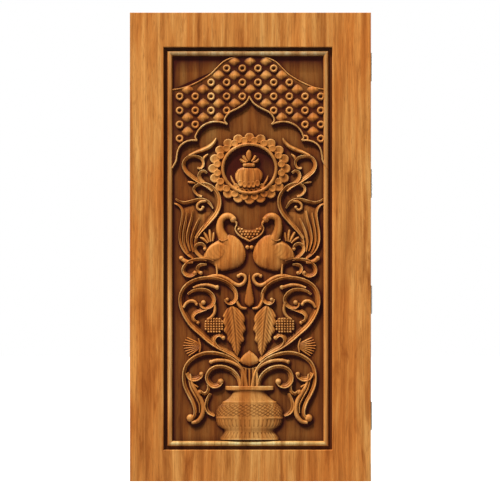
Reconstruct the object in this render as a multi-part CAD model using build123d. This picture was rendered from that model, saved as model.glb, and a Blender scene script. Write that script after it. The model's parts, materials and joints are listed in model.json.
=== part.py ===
from build123d import *
import os

# A carved entrance door leaf of wood-plastic composite, with the butt hinges it hangs on.
# Millimetres. X runs to the right seen from the carved side, Y runs through the leaf
# from the carved face to the plain back, and Z is up. The origin is the middle of the
# leaf's bottom edge.

# Leaf board
leaf_width = 1080.0
leaf_height = 2100.0
leaf_thickness = 40.0
lock_stile = 151.0
hinge_stile = 173.0
top_rail = 154.5
bottom_rail = 141.0
outer_arris = 2.0
inner_arris = 3.0

# Recess that takes the carved panel and its moulding
recess_depth = 24.0
moulding_width = 40.0
flange_thickness = 6.0
flange_width = 17.0
bead_top_depth = 4.0
bead_side_height = 5.0
lap_over_panel = 9.0
panel_thickness = 8.0
panel_gap = 1.0
bead_inner_drop = 2.0
bead_fullness = 0.72
bead_flank = 0.3

# Carving. It is drawn on a sheet and stretched to the field inside the moulding. Places on
# the sheet are a distance from the carving's axis and a height above the field's foot.
sheet_width = 676.0
sheet_height = 1724.5
carving_axis_shift = 7.0
carving_root = 2.0
carving_clearance = 1.0

# Lattice over the cusped arch
lattice_plate_height = 4.0
lattice_rim_width = 7.0
lattice_rim_height = 12.0
lattice_rim_steps = 8
lattice_crown = 1715.0
lattice_eaves = 1574.0
lattice_foot = 1223.0
lattice_ogee = [(120, 1691), (177, 1641), (266, 1593)]
arch_point = (0, 1545)
arch_lobes = [
    [(22, 1510), (87, 1474), (111, 1438), (99, 1419)],
    [(150, 1431), (208, 1413), (238, 1375), (235, 1347)],
    [(284, 1341), (318, 1305), (328, 1262)],
]
lattice_pitch_across = 70.3
lattice_pitch_up = 62.9
lattice_first_row = 1637.5
lattice_rows = 8
lattice_columns = 5
boss_half_width = 27.0
boss_half_height = 24.0
boss_tip = 0.12
boss_height = 11.0

# Round frame of petals with a covered pot in its bowl
medallion_height = 1221.0
medallion_half = (120.0, 109.0)
medallion_band = 8.0
medallion_relief = 12.0
petal_count = 20
petal_path = (162.0, 139.0)
petal_radius = 22.0
petal_height = 8.0
petal_bed_width = 22.0
petal_bed_height = 5.0
pot_profile = [(8, 1127), (48, 1134), (62, 1177), (46, 1216), (22, 1226)]
pot_crown = [(29, 1230), (28, 1243), (16, 1250), (21, 1272), (4, 1306)]
pot_relief = 12.0
pot_edge = 5.0

# Birds
bird_outline = [
    (92, 925), (38, 891), (16, 831), (47, 780), (119, 760), (161, 788), (207, 818), (175, 878), (119, 909),
]
bird_relief = 12.0
bird_edge = 5.0
bird_neck = [(76, 994), (110, 1008), (135, 968), (128, 930), (100, 890)]
bird_neck_radius = 13.0
bird_head_radius = 16.0
bird_head_relief = 12.0

# Scrolls, each a line that a rib follows
scroll_relief = 10.0
rib_chamfer = 0.5
scrolls = {
    "tail": (7.0, [(163, 798), (226, 810), (284, 787), (287, 750), (246, 750)]),
    "horn": (8.0, [(271, 1278), (210, 1303), (181, 1317), (149, 1357)]),
    "sail": (6.0, [(318, 1080), (288, 1066), (253, 1073), (222, 1080), (177, 1063), (163, 1041)]),
    "fan edge": (6.0, [(320, 1060), (298, 1017), (307, 918), (253, 818)]),
    "inner heart": (6.5, [(277, 656), (222, 677), (167, 651), (165, 612), (195, 596), (220, 610)]),
    "hook": (6.5, [(234, 1225), (208, 1243), (248, 1276), (291, 1243), (264, 1191), (186, 1142)]),
    "stem": (9.0, [(213, 1097), (247, 1127), (206, 1151), (146, 1105), (143, 1048), (201, 963), (242, 909)]),
    "heart": (9.0, [(50, 363), (96, 400), (177, 448), (256, 520), (301, 600), (300, 663), (257, 710),
                    (186, 727), (114, 713), (65, 671), (68, 626), (102, 623)]),
    "arm": (9.0, [(46, 330), (114, 377), (201, 386), (269, 347), (283, 282), (256, 211), (219, 140),
                  (241, 90), (264, 94)]),
    "curl": (8.0, [(46, 247), (78, 312), (146, 327), (186, 289), (163, 248), (129, 265)]),
}

# Hanging leaves and the bud between them
leaf_outline = [
    (80, 612), (120, 560), (122, 529), (116, 493), (98, 450),
    (55, 377), (35, 432), (17, 500), (19, 547), (50, 594),
]
leaf_relief = 8.0
leaf_spine = ((80, 606), (57, 385))
leaf_vein_count = 7
leaf_vein_length = 34.0
leaf_vein_width = 2.5
leaf_vein_depth = 2.5
leaf_vein_slant = 40.0
bud_profile = [(10, 333), (35, 340), (42, 357), (26, 383), (2, 405)]
bud_relief = 12.0
bud_edge = 5.0

# Vase, its half widths and their heights from the foot up
vase_profile = [(127, 3), (127, 11), (90, 43), (124, 70), (149, 117), (115, 178), (76, 212)]
vase_rim = [(104, 229), (108, 233), (108, 242), (105, 246)]
vase_relief = 13.0
vase_edge = 5.0

# Butt hinges
hinge_count = 4
hinge_height = 125.0
hinge_leaf_reach = 37.5
plate_thickness = 3.0
plate_gap = 2.0
knuckle_count = 5
knuckle_radius = 6.5
knuckle_standoff = 1.0
knuckle_axial_gap = 0.3
pin_radius = 3.5
pin_clearance = 0.05
pin_head_overhang = 1.5
pin_head_height = 2.5
pin_head_round = 1.5
gain_clearance = 0.2
cut_margin = 1.0
hinge_from_top = 180.0
hinge_from_bottom = 230.0

# Hinge screws
screw_hole_radius = 2.6
screw_head_radius = 5.0
screw_shank_radius = 2.3
screw_length = 32.0
screw_tip_length = 5.0
screw_tip_radius = 0.5
screw_slot_length = 5.5
screw_slot_width = 1.2
screw_slot_depth = 0.8
screw_clearance = 0.05
outer_row_reach = 29.0
outer_row_end_margin = 15.5
inner_row_reach = 15.0
inner_row_spacing = 32.0

# Places worked out from the sizes above
front_y = -leaf_thickness / 2
back_y = leaf_thickness / 2
recess_left = -leaf_width / 2 + lock_stile
recess_right = leaf_width / 2 - hinge_stile
recess_bottom = bottom_rail
recess_top = leaf_height - top_rail
recess_width = recess_right - recess_left
recess_height = recess_top - recess_bottom
recess_floor_y = front_y + recess_depth
field_y = recess_floor_y - panel_thickness
panel_inset = moulding_width - lap_over_panel + panel_gap
field_left = recess_left + moulding_width
field_right = recess_right - moulding_width
field_foot = recess_bottom + moulding_width
stretch_across = (field_right - field_left) / sheet_width
stretch_up = (recess_height - 2 * moulding_width) / sheet_height
carving_axis = (field_left + field_right) / 2 + carving_axis_shift * stretch_across
carving_plane = Plane(origin=(carving_axis, field_y, field_foot), x_dir=(1, 0, 0), z_dir=(0, -1, 0))
hinge_edge_x = leaf_width / 2
pin_x = hinge_edge_x + plate_gap / 2
pin_y = back_y + knuckle_radius + knuckle_standoff
first_hinge_z = leaf_height - hinge_from_top - hinge_height / 2
last_hinge_z = hinge_from_bottom + hinge_height / 2
hinge_step = (first_hinge_z - last_hinge_z) / (hinge_count - 1)
hinge_heights = [first_hinge_z - hinge_step * i for i in range(hinge_count)]
outer_row_spacing = hinge_height - 2 * outer_row_end_margin
pin_head_radius = pin_radius + pin_head_overhang


def block(x0, x1, y0, y1, z0, z1):
    """A box between two corners."""
    size = Box(x1 - x0, y1 - y0, z1 - z0)
    return Pos((x0 + x1) / 2, (y0 + y1) / 2, (z0 + z1) / 2) * size


def rod(x, y, z0, z1, radius):
    """An upright cylinder."""
    return Pos(x, y, (z0 + z1) / 2) * Cylinder(radius, z1 - z0)


def screw_places(hinge_z):
    """Y and Z of a hinge plate's four screws, the outer pair first."""
    outer_y = pin_y - outer_row_reach
    inner_y = pin_y - inner_row_reach
    return [
        (outer_y, hinge_z + outer_row_spacing / 2),
        (outer_y, hinge_z - outer_row_spacing / 2),
        (inner_y, hinge_z + inner_row_spacing / 2),
        (inner_y, hinge_z - inner_row_spacing / 2),
    ]


def leaf_frame():
    """The leaf's board, with its recess, hinge gains and pilot holes."""
    board = Box(leaf_width, leaf_thickness, leaf_height)
    board = Pos(0, 0, leaf_height / 2) * board
    long_edges = board.edges().filter_by(Axis.Y, reverse=True)
    board = fillet(long_edges, outer_arris)
    board -= block(
        recess_left, recess_right, front_y - cut_margin, recess_floor_y, recess_bottom, recess_top
    )
    mouth = [
        edge
        for edge in board.edges().group_by(Axis.Y)[0]
        if abs(edge.center().X - (recess_left + recess_right) / 2) < recess_width / 2 + cut_margin
        and abs(edge.center().Z - (recess_bottom + recess_top) / 2) < recess_height / 2 + cut_margin
    ]
    board = fillet(mouth, inner_arris)
    for z in hinge_heights:
        half = hinge_height / 2 + gain_clearance
        board -= block(
            hinge_edge_x - plate_thickness,
            hinge_edge_x + cut_margin,
            pin_y - hinge_leaf_reach - gain_clearance,
            back_y + cut_margin,
            z - half,
            z + half,
        )
        pilot_depth = screw_length + gain_clearance
        for y, hole_z in screw_places(z):
            pilot = Cylinder(screw_shank_radius + screw_clearance, pilot_depth)
            middle = hinge_edge_x - pilot_depth / 2
            board -= Pos(middle, y, hole_z) * Rot(0, 90, 0) * pilot
    return board


def moulding_section():
    """Section of the moulding. Its first axis runs from the recess wall towards the
    panel and its second from the recess floor towards the viewer."""
    groove = flange_thickness
    top = recess_depth - bead_top_depth
    side = groove + bead_side_height
    inner_side = panel_thickness + bead_side_height - bead_inner_drop
    bead_middle = (flange_width + moulding_width) / 2
    lap_start = moulding_width - lap_over_panel
    outline = [
        Line((0, 0), (0, groove)),
        Line((0, groove), (flange_width, groove)),
        Line((flange_width, groove), (flange_width, side)),
        ThreePointArc(
            (flange_width, side),
            (
                flange_width + (bead_middle - flange_width) * bead_flank,
                side + (top - side) * bead_fullness,
            ),
            (bead_middle, top),
        ),
        ThreePointArc(
            (bead_middle, top),
            (
                moulding_width - (moulding_width - bead_middle) * bead_flank,
                inner_side + (top - inner_side) * bead_fullness,
            ),
            (moulding_width, inner_side),
        ),
        Line((moulding_width, inner_side), (moulding_width, panel_thickness)),
        Line((moulding_width, panel_thickness), (lap_start, panel_thickness)),
        Line((lap_start, panel_thickness), (lap_start, 0)),
        Line((lap_start, 0), (0, 0)),
    ]
    return make_face(outline)


def moulding_length(run, corner, along, inward):
    """One mitred length of moulding. corner is where it starts on the recess wall."""
    toward_viewer = Vector(0, -1, 0)
    end_normal = inward.cross(toward_viewer)
    plane = Plane(origin=corner, x_dir=inward, z_dir=end_normal)
    bar = extrude(plane * moulding_section(), run * end_normal.dot(along))
    start = Vector(*corner)
    end = start + along * run
    middle = start + along * (run / 2)
    for tip, way in ((start, along), (end, along * -1)):
        mitre = Plane(origin=tip, z_dir=(way - inward).normalized())
        keep = Keep.TOP if mitre.to_local_coords(middle + inward).Z > 0 else Keep.BOTTOM
        bar = split(bar, bisect_by=mitre, keep=keep)
    return bar


def mouldings():
    """The four mitred lengths round the recess."""
    left_bottom = (recess_left, recess_floor_y, recess_bottom)
    right_bottom = (recess_right, recess_floor_y, recess_bottom)
    left_top = (recess_left, recess_floor_y, recess_top)
    x, z = Vector(1, 0, 0), Vector(0, 0, 1)
    return {
        "moulding_bottom": moulding_length(recess_width, left_bottom, x, z),
        "moulding_top": moulding_length(recess_width, left_top, x, z * -1),
        "moulding_left": moulding_length(recess_height, left_bottom, z, x),
        "moulding_right": moulding_length(recess_height, right_bottom, z, x * -1),
    }


def sheet(across, up):
    """A place in the carving's drawing, stretched to the field."""
    return across * stretch_across, up * stretch_up


def raised(face, height):
    """A flat form that stands out of the field by height."""
    return Pos(0, 0, -carving_root) * extrude(face, carving_root + height)


def above_root(solid, reach):
    """What stands above the carving's root, of a solid within reach of the origin."""
    return solid & Pos(0, 0, reach - carving_root) * Box(2 * reach, 2 * reach, 2 * reach)


def rib(radius, places):
    """A chamfered rib that follows a smooth line and stands out by the scrolls' relief."""
    line = Spline([sheet(*p) for p in places])
    shoulder = scroll_relief - radius * rib_chamfer
    flat = radius * (1 - rib_chamfer)
    section = Polygon(
        (-carving_root, radius), (shoulder, radius), (scroll_relief, flat),
        (scroll_relief, -flat), (shoulder, -radius), (-carving_root, -radius),
        align=None,
    )
    return sweep(Plane(line @ 0, x_dir=(0, 0, 1), z_dir=line % 0) * section, path=line)


def both_sides(piece):
    """A form and its mirror image across the carving's axis."""
    return [piece, mirror(piece, about=Plane.YZ)]


def rounded_outline(places):
    """A smooth closed face through places on the sheet."""
    return make_face(Spline([sheet(*p) for p in places], periodic=True))


def turned_outline(profile):
    """Outline of a turned form, from its half widths and their heights."""
    right = Spline([sheet(*p) for p in profile])
    left = mirror(right, about=Plane.YZ)
    return make_face([right, left, Line(left @ 0, right @ 0), Line(left @ 1, right @ 1)])


def domed(outline, crest, edge):
    """A form with a barrel-shaped front, as high as crest down its middle and as edge at its sides."""
    half = outline.bounding_box().size.X / 2
    middle = outline.bounding_box().center()
    drop = crest - edge
    barrel_radius = (half**2 + drop**2) / (2 * drop)
    barrel = Rot(90, 0, 0) * Cylinder(barrel_radius, sheet_height * 2)
    return raised(outline, crest) & Pos(middle.X, middle.Y, crest - barrel_radius) * barrel


def lattice_outline():
    """Outline of the plate over the arch: an ogee above and three lobes a side below."""
    edges = []
    for side, edge in ((-1, field_left), (1, field_right)):
        reach = abs(edge - carving_axis) - carving_clearance
        eaves = (side * reach, lattice_eaves * stretch_up)
        foot = (side * reach, lattice_foot * stretch_up)
        ogee = [sheet(side * across, up) for across, up in lattice_ogee]
        edges.append(Spline([sheet(0, lattice_crown), *ogee, eaves]))
        start = sheet(*arch_point)
        for lobe in arch_lobes:
            points = [sheet(side * across, up) for across, up in lobe]
            if lobe is arch_lobes[-1]:
                points.append(foot)
            edges.append(Spline([start, *points]))
            start = points[-1]
        edges.append(Line(eaves, foot))
    return make_face(edges)


def rim_inside(outline):
    """The outline drawn again a rim's width further in, through places along each edge."""
    edges = []
    for edge in offset(outline, -lattice_rim_width).edges():
        places = [edge @ (i / lattice_rim_steps) for i in range(lattice_rim_steps + 1)]
        edges.append(edge if edge.geom_type == GeomType.LINE else Spline(places))
    return make_face(edges)


def lattice():
    """The plate with its rim and its four-sided bosses."""
    outline = lattice_outline()
    plate = raised(outline, lattice_plate_height)
    rim = raised(outline, lattice_rim_height) - extrude(rim_inside(outline), lattice_rim_height)
    within = extrude(outline, boss_height)
    foot = Polygon(
        (-boss_half_width, 0), (0, -boss_half_height), (boss_half_width, 0), (0, boss_half_height), align=None
    )
    boss = loft([foot, Pos(0, 0, boss_height) * scale(foot, by=boss_tip)])
    forms = [plate, rim]
    for row in range(lattice_rows):
        for column in range(-lattice_columns, lattice_columns + 1):
            middle = sheet(column * lattice_pitch_across, lattice_first_row - row * lattice_pitch_up)
            if not outline.face().is_inside((*middle, 0)):
                continue
            placed = Pos(*middle) * boss
            near_edge = outline.face().outer_wire().distance_to(Vertex(*middle, 0)) < boss_half_width
            forms.append(placed & within if near_edge else placed)
    return forms


def medallion():
    """The ring of petals round a bowl with a covered pot."""
    middle = Pos(*sheet(0, medallion_height))
    wide, high = medallion_half
    band = Ellipse(wide + medallion_band, high + medallion_band) - Ellipse(
        wide - medallion_band, high - medallion_band
    )
    bed = Ellipse(wide + petal_bed_width, high + petal_bed_width) - Ellipse(wide, high)
    forms = [middle * raised(band, medallion_relief), middle * raised(bed, petal_bed_height)]
    for i in range(petal_count):
        place = Ellipse(*petal_path).edge() @ (i / petal_count)
        forms.append(middle * Pos(place) * raised(Circle(petal_radius), petal_height))
    forms.append(domed(turned_outline(pot_profile), pot_relief, pot_edge))
    forms.append(domed(turned_outline(pot_crown), pot_relief, pot_edge))
    return forms


def bird():
    """A bird in profile, its neck bent back over its breast."""
    body = domed(rounded_outline(bird_outline), bird_relief, bird_edge)
    ball = Pos(0, 0, bird_head_relief - bird_head_radius) * Sphere(bird_head_radius)
    head = Pos(*sheet(*bird_neck[0])) * above_root(ball, 2 * bird_head_radius)
    return [body, rib(bird_neck_radius, bird_neck), head]


def hanging_leaf():
    """A long leaf with a spine and slanting veins cut into it."""
    blade = raised(rounded_outline(leaf_outline), leaf_relief)
    spine = Line(*[sheet(*p) for p in leaf_spine])
    cut_level = leaf_relief - leaf_vein_depth / 2
    spine_cut = Box(leaf_vein_width, spine.length, leaf_vein_depth)
    lean = 90 - spine.tangent_angle_at(0)
    blade -= Pos((spine @ 0.5).X, (spine @ 0.5).Y, cut_level) * Rot(0, 0, -lean) * spine_cut
    vein = Box(leaf_vein_length, leaf_vein_width, leaf_vein_depth)
    for i in range(leaf_vein_count):
        middle = spine @ ((i + 0.5) / leaf_vein_count)
        for side in (-1, 1):
            turn = Rot(0, 0, side * leaf_vein_slant - lean) * Pos(side * leaf_vein_length / 2, 0, 0)
            blade -= Pos(middle.X, middle.Y, cut_level) * turn * vein
    return blade


def carved_panel():
    """The board with its carving, tucked under the moulding."""
    board = block(
        recess_left + panel_inset,
        recess_right - panel_inset,
        field_y,
        recess_floor_y,
        recess_bottom + panel_inset,
        recess_top - panel_inset,
    )
    forms = lattice() + medallion()
    ribs = [rib(*scroll) for scroll in scrolls.values()]
    for piece in bird() + ribs + [hanging_leaf()]:
        forms += both_sides(piece)
    forms.append(domed(turned_outline(bud_profile), bud_relief, bud_edge))
    forms.append(domed(turned_outline(vase_profile), vase_relief, vase_edge))
    forms.append(domed(turned_outline(vase_rim), vase_relief, vase_edge))
    return board.fuse(*[carving_plane.location * form for form in forms])


def knuckle_spans(hinge_z):
    """Lower and upper end of each knuckle of a hinge."""
    pitch = hinge_height / knuckle_count
    low = hinge_z - hinge_height / 2
    return [
        (low + pitch * i + knuckle_axial_gap / 2, low + pitch * (i + 1) - knuckle_axial_gap / 2)
        for i in range(knuckle_count)
    ]


def hinge_plate(hinge_z, inner_x, outer_x, first_knuckle):
    """One plate of a hinge. inner_x is its face next to the other plate, and
    first_knuckle says whether it has the odd knuckles, from 0, or the even ones, from 1."""
    half = hinge_height / 2
    root_y = pin_y - knuckle_radius - knuckle_standoff / 2
    low_x, high_x = min(inner_x, outer_x), max(inner_x, outer_x)
    plate = block(low_x, high_x, pin_y - hinge_leaf_reach, root_y, hinge_z - half, hinge_z + half)
    for low, high in knuckle_spans(hinge_z)[first_knuckle::2]:
        plate += block(low_x, high_x, root_y, pin_y, low, high)
        plate += rod(pin_x, pin_y, low, high, knuckle_radius)
    plate -= rod(pin_x, pin_y, hinge_z - half, hinge_z + half, pin_radius + pin_clearance)
    middle_x = (inner_x + outer_x) / 2
    sink_depth = screw_head_radius - screw_hole_radius
    turn = 90 if inner_x > outer_x else -90
    sink_x = inner_x - sink_depth / 2 if inner_x > outer_x else inner_x + sink_depth / 2
    for y, z in screw_places(hinge_z):
        hole = Cylinder(screw_hole_radius, plate_thickness * 2)
        plate -= Pos(middle_x, y, z) * Rot(0, 90, 0) * hole
        sink = Cone(screw_hole_radius, screw_head_radius, sink_depth)
        plate -= Pos(sink_x, y, z) * Rot(0, turn, 0) * sink
    return plate


def hinge_pin(hinge_z):
    """A hinge's pin, with a low domed head at each end."""
    half = hinge_height / 2
    pin = rod(pin_x, pin_y, hinge_z - half, hinge_z + half, pin_radius)
    for end, way in ((hinge_z + half, 1), (hinge_z - half, -1)):
        head = Cylinder(pin_head_radius, pin_head_height)
        rim = head.edges().sort_by(Axis.Z)[-1]
        head = fillet(rim, pin_head_round)
        turn = 0 if way > 0 else 180
        pin += Pos(pin_x, pin_y, end + way * pin_head_height / 2) * Rot(turn, 0, 0) * head
    return pin


def hinge_screw():
    """A countersunk screw, its head at the origin and its tip along +Z."""
    head_radius = screw_head_radius - screw_clearance
    head_depth = screw_head_radius - screw_hole_radius
    head = Pos(0, 0, head_depth / 2) * Cone(
        head_radius, screw_hole_radius - screw_clearance, head_depth
    )
    shank_end = screw_length - screw_tip_length
    shank = Pos(0, 0, shank_end / 2) * Cylinder(screw_shank_radius, shank_end)
    tip = Pos(0, 0, shank_end + screw_tip_length / 2) * Cone(
        screw_shank_radius, screw_tip_radius, screw_tip_length
    )
    slot = Box(screw_slot_length, screw_slot_width, 2 * screw_slot_depth)
    return head + shank + tip - slot - Rot(0, 0, 90) * slot


def hinge_screws():
    """Every screw that holds a hinge plate to the leaf."""
    screw = hinge_screw()
    screws = []
    for hinge_z in hinge_heights:
        for y, z in screw_places(hinge_z):
            screws.append(Pos(hinge_edge_x - screw_clearance, y, z) * Rot(0, -90, 0) * screw)
    return Compound(children=screws)


def nodes():
    """Every piece of the door leaf, by name."""
    pieces = {"leaf_frame": leaf_frame(), "carved_panel": carved_panel()}
    pieces.update(mouldings())
    leaf_plate_x = (hinge_edge_x, hinge_edge_x - plate_thickness)
    frame_plate_x = (hinge_edge_x + plate_gap, hinge_edge_x + plate_gap + plate_thickness)
    for i, z in enumerate(hinge_heights, start=1):
        pieces[f"hinge{i}_leaf_plate"] = hinge_plate(z, *leaf_plate_x, 1)
        pieces[f"hinge{i}_frame_plate"] = hinge_plate(z, *frame_plate_x, 0)
        pieces[f"hinge{i}_pin"] = hinge_pin(z)
    pieces["hinge_screws"] = hinge_screws()
    return pieces


if __name__ == "__main__":
    os.makedirs("parts", exist_ok=True)
    for name, piece in nodes().items():
        export_step(piece, f"parts/{name}.step")
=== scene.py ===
import math
import json

import bpy
import numpy as np
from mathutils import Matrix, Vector
from mathutils.bvhtree import BVHTree
from mathutils.geometry import delaunay_2d_cdt


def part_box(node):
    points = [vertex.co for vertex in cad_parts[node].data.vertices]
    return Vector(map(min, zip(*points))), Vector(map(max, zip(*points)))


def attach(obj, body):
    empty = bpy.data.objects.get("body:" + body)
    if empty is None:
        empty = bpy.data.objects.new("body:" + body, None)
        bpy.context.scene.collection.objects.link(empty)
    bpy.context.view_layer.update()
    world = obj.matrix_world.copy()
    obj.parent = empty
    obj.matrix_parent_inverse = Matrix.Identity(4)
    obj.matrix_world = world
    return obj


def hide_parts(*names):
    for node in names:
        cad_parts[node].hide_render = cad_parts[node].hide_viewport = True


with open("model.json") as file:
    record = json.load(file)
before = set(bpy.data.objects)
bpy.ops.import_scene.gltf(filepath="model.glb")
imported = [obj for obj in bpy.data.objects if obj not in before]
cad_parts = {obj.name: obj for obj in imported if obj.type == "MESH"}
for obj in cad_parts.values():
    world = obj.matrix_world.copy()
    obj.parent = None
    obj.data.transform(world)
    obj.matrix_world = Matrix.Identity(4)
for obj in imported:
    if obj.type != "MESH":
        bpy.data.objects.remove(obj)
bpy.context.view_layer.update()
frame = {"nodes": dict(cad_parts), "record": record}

mm = 0.001

leafLow, leafHigh = (Vector(corner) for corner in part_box("leaf_frame"))
panelLow, panelHigh = (Vector(corner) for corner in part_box("carved_panel"))
faceY = leafLow.y
panelThickness = 8.0 * mm
floorY = panelHigh.y - panelThickness

# The carving is laid out on a grid as wide and high as the photograph's pixels.
# Its columns count from the left and its rows from the top.
grid = {
    "step": 4.478 * mm,
    "leafMiddle": 250.42,
    "leafFoot": 481.5,
    "axis": 249.5,
}
step = grid["step"]


def gridX(column):
    return (column - grid["leafMiddle"]) * step


def gridZ(row):
    return (grid["leafFoot"] - row) * step


axisX = gridX(grid["axis"])
print("frame loaded, carving axis at", round(axisX, 4))


# Node helpers

def feed(tree, node, inputs):
    # another node's output is wired in, and a plain value is set
    for name, value in inputs.items():
        if isinstance(value, bpy.types.NodeSocket):
            tree.links.new(value, node.inputs[name])
        else:
            node.inputs[name].default_value = value
    return node


def addNode(tree, kind, inputs={}, **values):
    node = tree.nodes.new(kind)
    for name, value in values.items():
        setattr(node, name, value)
    return feed(tree, node, inputs)


def mathNode(tree, operation, *values):
    return addNode(tree, "ShaderNodeMath", dict(enumerate(values)), operation=operation).outputs[0]


def mixColour(tree, blend, factor, first, second):
    return addNode(tree, "ShaderNodeMix", {0: factor, 6: first, 7: second},
                   data_type="RGBA", blend_type=blend).outputs[2]


def rangeNode(tree, value, start=0.0, end=1.0, low=0.0, high=1.0, kind="LINEAR"):
    node = addNode(tree, "ShaderNodeMapRange", interpolation_type=kind)
    return feed(tree, node, {"Value": value, "From Min": start, "From Max": end,
                             "To Min": low, "To Max": high}).outputs[0]


def rampNode(tree, factor, stops):
    node = addNode(tree, "ShaderNodeValToRGB", {0: factor})
    ramp = node.color_ramp
    while len(ramp.elements) < len(stops):
        ramp.elements.new(1.0)
    for element, (place, colour) in zip(ramp.elements, stops):
        element.position = place
        element.color = (*colour, 1.0)
    return node.outputs[0]


def stretchedNoise(tree, place, across, along, detail=3.0, roughness=0.5, distortion=0.0, offset=0.0):
    mapping = addNode(tree, "ShaderNodeMapping", {
        "Vector": place, "Location": (offset, offset * 0.7, offset * 1.3),
        "Scale": (across, across, along)})
    noise = addNode(tree, "ShaderNodeTexNoise", {
        "Vector": mapping.outputs[0], "Scale": 1.0, "Detail": detail, "Roughness": roughness,
        "Distortion": distortion})
    return noise.outputs["Fac"]


def newMaterial(name):
    material = bpy.data.materials.new(name)
    material.use_nodes = True
    material.node_tree.nodes.clear()
    return material, material.node_tree


def linear(*colour):
    # a colour of 0 to 255 as the shader's own light values
    return tuple((c / 255) / 12.92 if c <= 10 else ((c / 255 + 0.055) / 1.055) ** 2.4 for c in colour)


# Teak-coloured finish: streaks and pores run up the leaf everywhere, rails too
wood = {
    "pale": (214, 144, 74),
    "middle": (194, 118, 52),
    "deep": (162, 90, 34),
    "pore": (96, 46, 16),
    # the next four colours pale the crests, partly as rubbed wear and partly as a painted highlight, keep the
    # plain level, and paint shade into the hollows at half and at full depth
    "rubbed": (0.89, 1.48, 2.75),
    "worn": (0.9, 1.04, 1.2),
    "halfStain": (0.29, 0.275, 0.255),
    "fullStain": (0.07, 0.02, 0.008),
    "flame": (0.7, 0.6, 0.5),
    "redder": (1.0, 0.83, 0.64),
    "golder": (1.03, 1.06, 1.04),
    "dullGrain": (0.80, 0.78, 0.74),
    "brightGrain": (1.06, 1.06, 1.06),
    # the two bead colours paint the top bead darker as if in shade and the bottom bead paler as if lit from
    # above
    "topBead": (0.62, 0.78, 1.08),
    "bottomBead": (1.1, 1.45, 1.75),
    "wander": {"across": 4.0, "along": 1.3, "detail": 2.0},
    "wanderReach": 0.05,
    "streakShare": 0.62,
    "roughness": (0.58, 0.44),
    "specular": 0.1,
    "grainBump": 0.35,
    "grainDepth": 0.5 * mm,
    "poreDepth": 0.6,
}
# How often each pattern changes in a metre, across the grain and along it
woodPatterns = {
    "streak": {"across": 34.0, "along": 0.9, "detail": 4.0, "roughness": 0.62},
    "figure": {"across": 11.0, "along": 1.7, "distortion": 1.4, "offset": 3.1},
    "grain": {"across": 240.0, "along": 5.0, "roughness": 0.6, "offset": 1.7},
    "pores": {"across": 800.0, "along": 26.0, "detail": 1.0, "offset": 5.3},
    "drift": {"across": 7.0, "along": 1.1, "detail": 2.0, "distortion": 0.8, "offset": 8.4},
    "flames": {"across": 26.0, "along": 3.2, "detail": 4.0, "roughness": 0.6, "distortion": 1.1,
               "offset": 6.2},
}


def woodMaterial(name, stain, tint=(1.0, 1.0, 1.0)):
    material, tree = newMaterial(name)
    place = addNode(tree, "ShaderNodeTexCoord").outputs["Object"]

    # a slow wander keeps the streaks from being ruled lines
    wander = stretchedNoise(tree, place, **wood["wander"])
    sway = mathNode(tree, "MULTIPLY", mathNode(tree, "SUBTRACT", wander, 0.5), wood["wanderReach"])
    shift = addNode(tree, "ShaderNodeCombineXYZ", {"X": sway}).outputs[0]
    place = addNode(tree, "ShaderNodeVectorMath", {0: place, 1: shift}, operation="ADD").outputs[0]
    noise = {pattern: stretchedNoise(tree, place, **values) for pattern, values in woodPatterns.items()}

    mixed = mathNode(tree, "ADD", mathNode(tree, "MULTIPLY", noise["streak"], wood["streakShare"]),
                     mathNode(tree, "MULTIPLY", noise["figure"], 1 - wood["streakShare"]))
    colour = rampNode(tree, mixed, [(0.375, linear(*wood["deep"])), (0.5, linear(*wood["middle"])),
                                    (0.635, linear(*wood["pale"]))])
    for factor, stops in (
            (noise["grain"], [(0.3, wood["dullGrain"]), (0.62, wood["brightGrain"])]),
            (noise["drift"], [(0.38, wood["golder"]), (0.62, wood["redder"])]),
            (noise["flames"], [(0.56, (1.0, 1.0, 1.0)), (0.7, wood["flame"])])):
        colour = mixColour(tree, "MULTIPLY", 1.0, colour, rampNode(tree, factor, stops))
    poreMask = rampNode(tree, noise["pores"], [(0.60, (0.0, 0.0, 0.0)), (0.72, (0.5, 0.5, 0.5))])
    colour = mixColour(tree, "MIX", poreMask, colour, (*linear(*wood["pore"]), 1.0))
    # painted highlight on the crests and painted shade in the hollows, from the level that the given function
    # computes
    paintedLight = rampNode(tree, stain(tree), [(0.0, wood["rubbed"]), (0.5, wood["worn"]),
                                             (0.75, wood["halfStain"]), (1.0, wood["fullStain"])])
    colour = mixColour(tree, "MULTIPLY", 1.0, colour, paintedLight)
    colour = mixColour(tree, "MULTIPLY", 1.0, colour, (*tint, 1.0))

    dull, smooth = wood["roughness"]
    height = mathNode(tree, "SUBTRACT", noise["grain"],
                      mathNode(tree, "MULTIPLY", noise["pores"], wood["poreDepth"]))
    bump = addNode(tree, "ShaderNodeBump", {
        "Height": height, "Strength": wood["grainBump"], "Distance": wood["grainDepth"]})
    shader = addNode(tree, "ShaderNodeBsdfPrincipled", {
        "Base Color": colour, "Roughness": rangeNode(tree, noise["grain"], low=dull, high=smooth),
        "Specular IOR Level": wood["specular"], "Normal": bump.outputs[0]})
    addNode(tree, "ShaderNodeOutputMaterial", {"Surface": shader.outputs[0]})
    return material


# The border's recess, its depths counted from the leaf's face
recess = {
    # the depths where the recess's painted shade begins and is full, and where the bead crest's painted
    # highlight is full and ends
    "stainFrom": 6.0 * mm,
    "stainTo": 16.0 * mm,
    "rubbedAt": 4.0 * mm,
    "rubbedTo": 6.5 * mm,
    "floor": 27.0 * mm,
    "margin": 0.5 * mm,
    "plain": 0.5,
    "deepest": 0.93,
    "rub": 0.35,
}
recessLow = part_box("moulding_left")[0][0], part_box("moulding_left")[0][2]
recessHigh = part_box("moulding_right")[1][0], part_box("moulding_left")[1][2]


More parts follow.
